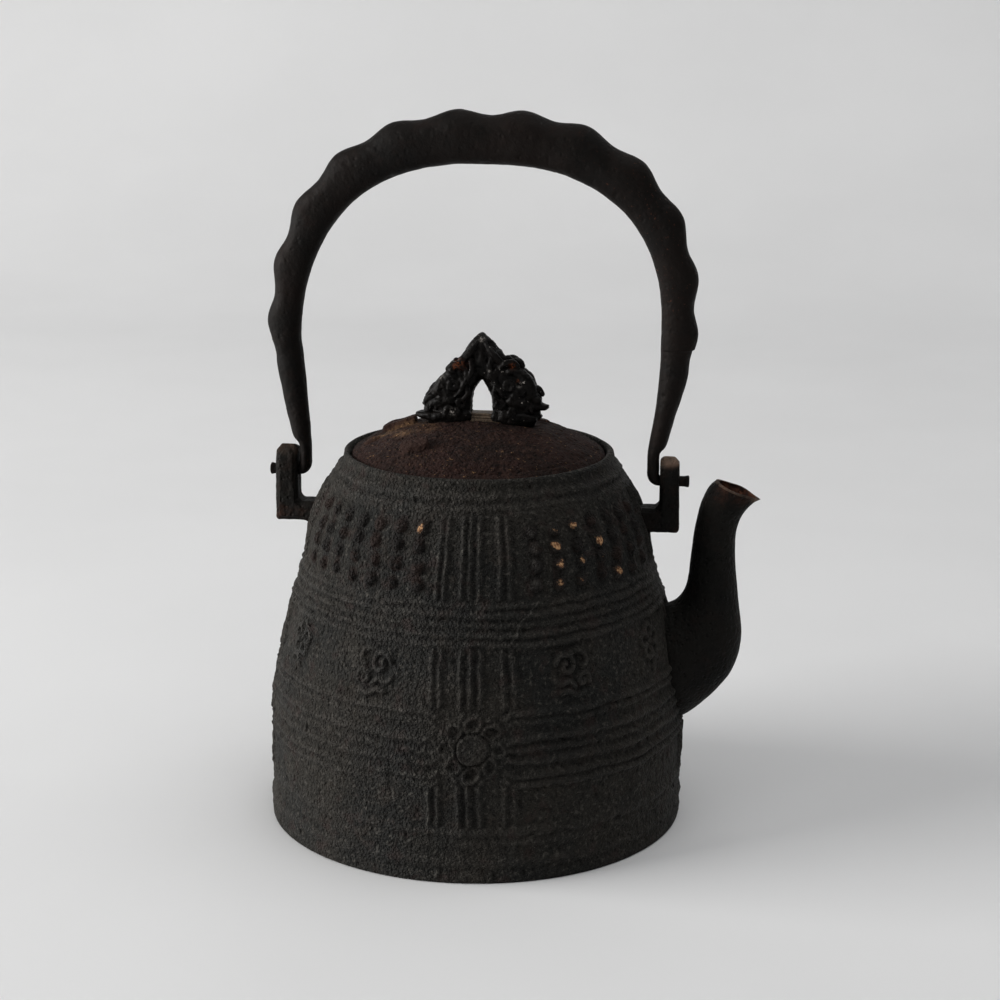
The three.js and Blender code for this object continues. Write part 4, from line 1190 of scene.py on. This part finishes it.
def dragon_head(side):
    """One beast's head, looking outwards and down from the peak: its beads, on the side that it faces."""
    fuller = 1.0 if side > 0 else 0.0

    def out(*path):
        return [(KNOB_MIDDLE + side * a, y, z, r) for a, y, z, r in path]

    made = []
    made += lock(out((0, 0, 162.3, 2.0), (1.9, 0, 159.8, 2.6), (3.5, 0, 157, 2.7 + 0.5 * fuller),
                     (5.4, 0, 153.6, 3.3 + 0.6 * fuller), (7.9, 0, 149.8, 4.1 + 0.5 * fuller),
                     (9.8, 0, 146, 4.8), (11.4, 0, 142, 5.1), (12, 0, 139.2, 4.6)))
    made += lock(out((3.0, 0, 151.0, 3.7), (5.5, 0, 147.4, 3.9), (6.9, 0, 143.4, 4.0), (7.2, 0, 139.4, 4.0)))
    # Snout: a long smooth lobe that ends in a nostril
    for y in (-1.9, 1.9):
        made += lock(out((8.8, y, 151.0 + fuller, 2.0), (10.7 + 2.4 * fuller, y, 149.2 + 1.3 * fuller, 2.4),
                         (13.2 + 2.2 * fuller, y, 146.6 + 0.6 * fuller, 2.5),
                         (15.2 + 1.4 * fuller, y, 144.1, 2.0)))
        made += lock(out((15.8, y, 143.3, 1.6), (17.2 + 1.3 * fuller, y, 142.4, 1.5),
                         (18.4, y * 0.6, 141.4, 1.2)))
        # Upper lip, lower jaw and the tuft on the chin
        tip = 19.6 + 2.9 * fuller
        made += lock(out((10, 2 * y, 142.2, 1.7), (13.6, 1.9 * y, 141.2, 1.6), (16.4, 1.2 * y, 140.5, 1.5),
                         (tip - 2, 0.5 * y, 140.1, 1.1), (tip, 0, 140.2, 0.5)))
        chin = 21.7 - 2.0 * fuller
        made += lock(out((8, 1.8 * y, 137.8, 2.1), (12, 1.9 * y, 136.7, 1.9), (16, 1.5 * y, 136.2, 1.7),
                         (chin - 2, 0.7 * y, 136.4, 1.3), (chin, 0.2 * y, 136.8, 0.6)))
        # Foot, spread over the plate below
        made += lock(out((5.2, 1.25 * y, 136.4, 2.4), (9, 1.35 * y, 135.6, 2.6), (13, 1.2 * y, 135.0, 2.5),
                         (16.2, 0.8 * y, 134.6, 1.9)))
        # Teeth
        for a in (10.6, 12.7, 14.8, 16.7):
            made += lock(out((a, 2.0 * y, 140, 0.75), (a + 0.3, 2.05 * y, 138.6, 0.3)))
        # Eye under its brow
        made.append(bead((KNOB_MIDDLE + side * 9.6, 1.9 * y, 152.1), (1.35, 1.2, 1.35)))
        brow = ((6.4, 1.9, 153.6, 1.0), (8.2, 2.15, 155, 1.2), (10.4, 1.9, 155.1, 1.3), (12, 1.3, 153.6, 1.0))
        made += lock([(KNOB_MIDDLE + side * (a - 1.1 * (1 - fuller)), b * y, z - 1.3 * (1 - fuller), r)
                      for a, b, z, r in brow])
        # Ear and horn, swept back up to the peak
        made += lock(out((6.2, 1.9 * y, 155.4, 1.3), (4.2, 2.2 * y, 157.6, 1.15), (2.2, 1.9 * y, 160, 0.8),
                         (1.0, 1.2 * y, 162, 0.4)))
        # Mane: locks that fall from the neck down the leg
        for k, (a, z) in enumerate(((3.4, 155.5), (5.2, 152.4), (6.6, 149.0), (4.9, 146.6))):
            drop = 7.5 - k
            made += lock(out((a, 1.9 * y, z, 1.0), (a - 0.6, 2.35 * y, z - 0.4 * drop, 0.95),
                             (a + 0.4, 2.6 * y, z - 0.75 * drop, 0.75), (a + 1.9, 2.5 * y, z - drop, 0.35)))
        # Curls on the cheek and neck
        face = 2.5 * y
        for a, on, z, size, thickness, hand, start in (
            (9.4, face, 147.3, 1.9, 0.62, side, 0.5),
            (12.9, 2.2 * y, 145.4, 1.6, 0.55, -side, 2.4),
            (6.3, face, 141.2, 1.7, 0.6, -side, 1.2),
            (10.3, face * 1.05, 138.6, 1.5, 0.55, side, 3.9),
            (3.2, 1.5 * y, 158.6, 1.4, 0.5, side, 0.0),
        ):
            made += curl(KNOB_MIDDLE + side * a, on, z, size, thickness, hand, start)
    # Crest lumps along the back, and the jagged mane behind the jaw
    back = ((3.1, 161.2, 1.2), (5.6, 159.2 - 1.6 * (1 - fuller), 1.15), (8.6, 157.1 - 1.2 * (1 - fuller), 1.2))
    for a, z, r in back:
        made.append(bead((KNOB_MIDDLE + side * a, 0, z - 1.2), (r, 1.6, r)))
    if side > 0:
        made += lock(out((10.2, 0, 154.6, 1.5), (12.1, 0, 154.9, 1.3), (13.2, 0, 153.7, 1.0)))
    made += lock(out((15.4 + fuller, 0, 146, 1.5), (16.6 + 2 * fuller, 0, 144.6 + 1.4 * fuller, 1.2),
                     (18.2 + 2 * fuller, 0, 142.6 + 1.4 * fuller, 0.9)))
    made += lock(out((16.6, 0, 140.8, 2.0), (17.8, 0, 138, 1.8), (17.6, 0, 136.2, 1.5)))
    made += lock(out((6, 0, 137.2, 2.6), (10, 0, 136.8, 2.8), (14.5, 0, 136.6, 2.4), (17.4, 0, 136.4, 1.8)))
    return made


# Where flecks of rust and of pale scale sit on the knob, and how far each reaches
RUSTY_SPOTS = (
    (-6.0, -3, 154.6, 1.2), (-7.2, -3, 153.4, 0.7), (11.8, -3, 154.2, 0.9), (13.6, -4, 149, 0.5),
    (-4, 3, 154, 1.5),
)
PALE_SPOTS = (
    (-12.3, -3, 149.8, 0.8), (-8, -4, 138.6, 1.0), (1.4, -2, 162.6, 0.8), (4, -3, 152.4, 0.6),
    (14, -4, 148, 0.7), (9, 4, 146, 1.0),
)


def make_knob():
    beads = dragon_head(-1) + dragon_head(1)
    for path in (
        ((0, -1.2, 161, 2.2), (0, 0, 162.6, 1.8), (0, 0.2, 163.5, 0.9)),  # the peak
        ((-2.6, 0, 152.2, 3.2), (0, 0, 153, 4.1), (2.6, 0, 152.2, 3.2)),  # the bridge over the opening
        ((-0.3, 0, 153, 3.9), (0, 0, 158, 3.6), (0, 0, 160.6, 2.6)),  # and from it up to the peak
    ):
        beads += lock([(KNOB_MIDDLE + x, y, z, r) for x, y, z, r in path])
    points, triangles = together(*beads)
    mesh = fused("lid_knob_cast", points, triangles, 0.27, 2)
    co = points_of(mesh)
    # It sits on the dome and stays inside its own width, length and height
    co[:, 2] = np.maximum(co[:, 2], dome_height(np.hypot(co[:, 0], co[:, 1])) + 0.15)
    limit = (KNOB_HIGH - KNOB_LOW)[1] / 2 - 0.1
    co[:, 1] = limit * np.tanh(co[:, 1] / limit)
    co[:, 2] = np.minimum(co[:, 2], KNOB_TOP - 0.1)
    co[:, 0] = np.clip(co[:, 0], KNOB_LOW[0] + 0.05, KNOB_HIGH[0] - 0.05)
    move_to(mesh, co)
    roughen(mesh, (2.4, 0.26, 64), (1.2, 0.14, 61), (0.7, 0.05, 62))
    co, normals = points_of(mesh), read(mesh, "normal")
    golden, pale = (
        sum(crest(np.linalg.norm((co - place) / (1, 3, 1), axis=1), size) for *place, size in spots)
        for spots in (RUSTY_SPOTS, PALE_SPOTS)
    )
    # crest: lighter where the normal points up, a painted top light, mixed with random lumps
    paint(mesh, crest=np.clip(lumps(co, 1.3, 63) * 0.6 + normals[:, 2] * 0.5, 0, 1), golden=golden, pale=pale)
    piece("lid_knob_cast", mesh, "lid", "dark_cast_iron", DARK_CAST, "lid_knob")


def make_tenons():
    """The knob's two tenons through seat and lid, each peened over its washer."""
    spread, shank, columns = 7.5, 1.5, 40
    bottom = KNOB_LOW[2]
    head = ((0.9, 0.05), (1.7, 0.2), (2.3, 0.6), (2.45, 1.0), (shank, 1.4))
    rows = [(radius, bottom + up) for radius, up in head]
    rows += [(shank, z) for z in np.linspace(bottom + 1.6, SEAT_HIGH[2] + 1.2, 12)]
    way = round_turn(columns)
    for side, name in ((-1, "knob_tenon_left"), (1, "knob_tenon_right")):
        x = KNOB_MIDDLE + side * spread
        rings = np.stack(
            [np.stack([x + r * np.cos(way), r * np.sin(way), np.full(columns, z)], -1) for r, z in rows]
        )
        rings[:4] += (0.12 * lumps(rings[:4], 1.1, 65))[..., None] * np.array([1, 1, 0.3])
        mesh = mesh_of(name, *skin(rings))
        count = len(mesh.vertices)
        paint(mesh, crest=np.zeros(count), golden=np.full(count, 0.3), pale=np.zeros(count))
        piece(name, mesh, "lid", "dark_cast_iron", DARK_CAST)


make_knob()
make_tenons()


def make_seat():
    """The stepped plate under the knob, with three fine lines, bedded down onto the dome."""
    half_long = (SEAT_HIGH[0] - SEAT_LOW[0]) / 2
    half_deep = (SEAT_HIGH[1] - SEAT_LOW[1]) / 2
    base, top = SEAT_LOW[2], SEAT_HIGH[2] + 0.7
    rise = top - base
    levels = (  # how far in from the edge, and the share of the way up
        (0, -0.5), (0, 0.05), (0.12, 0.2), (0.3, 0.24), (0.12, 0.28), (0, 0.4), (0.1, 0.48), (0.55, 0.52),
        (0.65, 0.6), (0.85, 0.66), (0.65, 0.72), (0.65, 0.85), (0.8, 0.97), (1.2, 1.0),
    )
    columns = 120
    turn = round_turn(columns)
    rings = []
    for draw, share in levels:
        radius = half_deep - draw
        x = KNOB_MIDDLE + np.sign(np.cos(turn)) * (half_long - half_deep) + radius * np.cos(turn)
        y = radius * np.sin(turn)
        z = np.full(columns, base + share * rise)
        if share < 0:
            z = dome_height(np.hypot(x, y)) - 0.1
        rings.append(np.stack([x, y, z], -1))
    form = skin(np.array(rings), (KNOB_MIDDLE, 0, DOME_TOP - 0.2), (KNOB_MIDDLE, 0, top))
    mesh = mesh_of("knob_seat_plate", *form)
    mesh.set_sharp_from_angle(angle=math.radians(50))
    piece("knob_seat_plate", mesh, "lid", "worn_brass", WORN_BRASS, "knob_seat")


def finish_washers():
    """The two washers keep their shape, with worn edges."""
    for name in ("knob_washer_left", "knob_washer_right"):
        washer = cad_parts[name]
        washer.data.materials.clear()
        washer.data.materials.append(WORN_BRASS)
        worn = washer.modifiers.new("Rounded", "BEVEL")
        worn.width = 0.25 * MM
        worn.segments = 2
        worn.limit_method = "ANGLE"


make_seat()
finish_washers()

# ---------------------------------------------------------------- floor, light and camera


def paper_sweep():
    """A pale sheet that runs forward under the kettle and rises in a wide curve behind it."""
    steps, behind, bend, half_wide, below = 40, 900, 900, 3600, 0.02
    profile = [(-3000, 0), (-1500, 0), (behind, 0)]
    for k in range(1, steps + 1):
        angle = math.pi / 2 * k / steps
        profile.append((behind + bend * math.sin(angle), bend * (1 - math.cos(angle))))
    profile.append((behind + bend, 3600))
    points = [(x, y, z - below) for y, z in profile for x in (-half_wide, half_wide)]
    quads = [(2 * i, 2 * i + 1, 2 * i + 3, 2 * i + 2) for i in range(len(profile) - 1)]
    sheet = added("paper_sweep", mesh_of("paper_sweep", points, quads))
    f = Finish("pale_paper", roughness=0.75, specular_ior_level=0.2)
    mottle = f.blend(f.noise(260, 3).within(0.3, 0.7), (0.755, 0.757, 0.76), (0.785, 0.787, 0.79))
    # Painted shade: the sheet is painted darker as it rises from 20 mm to 700 mm, as the backdrop gets less
    # light than the floor
    f.wear(f.blend(f.height().within(20, 700), mottle, (0.685, 0.687, 0.69)))
    sheet.data.materials.append(f.material)


def soft_light(name, place, size, power, colour):
    """A rectangular lamp, aimed at the kettle."""
    lamp = bpy.data.lights.new(name, "AREA")
    lamp.shape = "RECTANGLE"
    lamp.size, lamp.size_y = size
    lamp.energy = power
    lamp.color = colour
    made = added(name, lamp)
    made.location = place
    aim = Vector((0, 0, 0.1)) - made.location
    made.rotation_euler = aim.to_track_quat("-Z", "Y").to_euler()


def light_the_set():
    """A window low on the left, a broad ceiling, and a dim room that the camera sees as pale grey."""
    soft_light("window", (-1.9, -0.5, 0.62), (1.5, 1.1), 57, (1.0, 0.99, 0.975))
    soft_light("ceiling", (0.75, -0.25, 2.5), (3.4, 2.8), 42, (1.0, 1.0, 1.0))
    world = bpy.data.worlds.new("room")
    world.use_nodes = True
    tree = world.node_tree
    dim = tree.nodes["Background"]
    dim.inputs["Color"].default_value = (0.93, 0.96, 1.0, 1)
    dim.inputs["Strength"].default_value = 0.045
    pale = tree.nodes.new("ShaderNodeBackground")
    pale.inputs["Color"].default_value = (0.66, 0.66, 0.66, 1)
    chosen = tree.nodes.new("ShaderNodeMixShader")
    path = tree.nodes.new("ShaderNodeLightPath")
    tree.links.new(path.outputs["Is Camera Ray"], chosen.inputs[0])
    tree.links.new(dim.outputs[0], chosen.inputs[1])
    tree.links.new(pale.outputs[0], chosen.inputs[2])
    tree.links.new(chosen.outputs[0], tree.nodes["World Output"].inputs["Surface"])
    bpy.context.scene.world = world
    bpy.context.scene.view_settings.view_transform = "Standard"


def place_camera():
    """Just above the kettle's rim height, a little round towards the spout, looking at the shoulder."""
    azimuth, elevation, distance, roll = math.radians(6.5), math.radians(14.458), 745.9, 0.3
    target = Vector((7.31, 0.83, 107.58)) * MM
    level = math.cos(elevation)
    away = Vector((math.sin(azimuth) * level, -math.cos(azimuth) * level, math.sin(elevation)))
    data = bpy.data.cameras.new("camera")
    data.lens = 80.25
    data.sensor_width = 36
    camera = added("camera", data)
    look = (-away).to_track_quat("-Z", "Y").to_matrix().to_4x4()
    place = Matrix.Translation(target + away * distance * MM)
    camera.matrix_world = place @ look @ Matrix.Rotation(math.radians(roll), 4, "Z")
    bpy.context.scene.camera = camera


paper_sweep()
light_the_set()
place_camera()

bpy.context.view_layer.update()
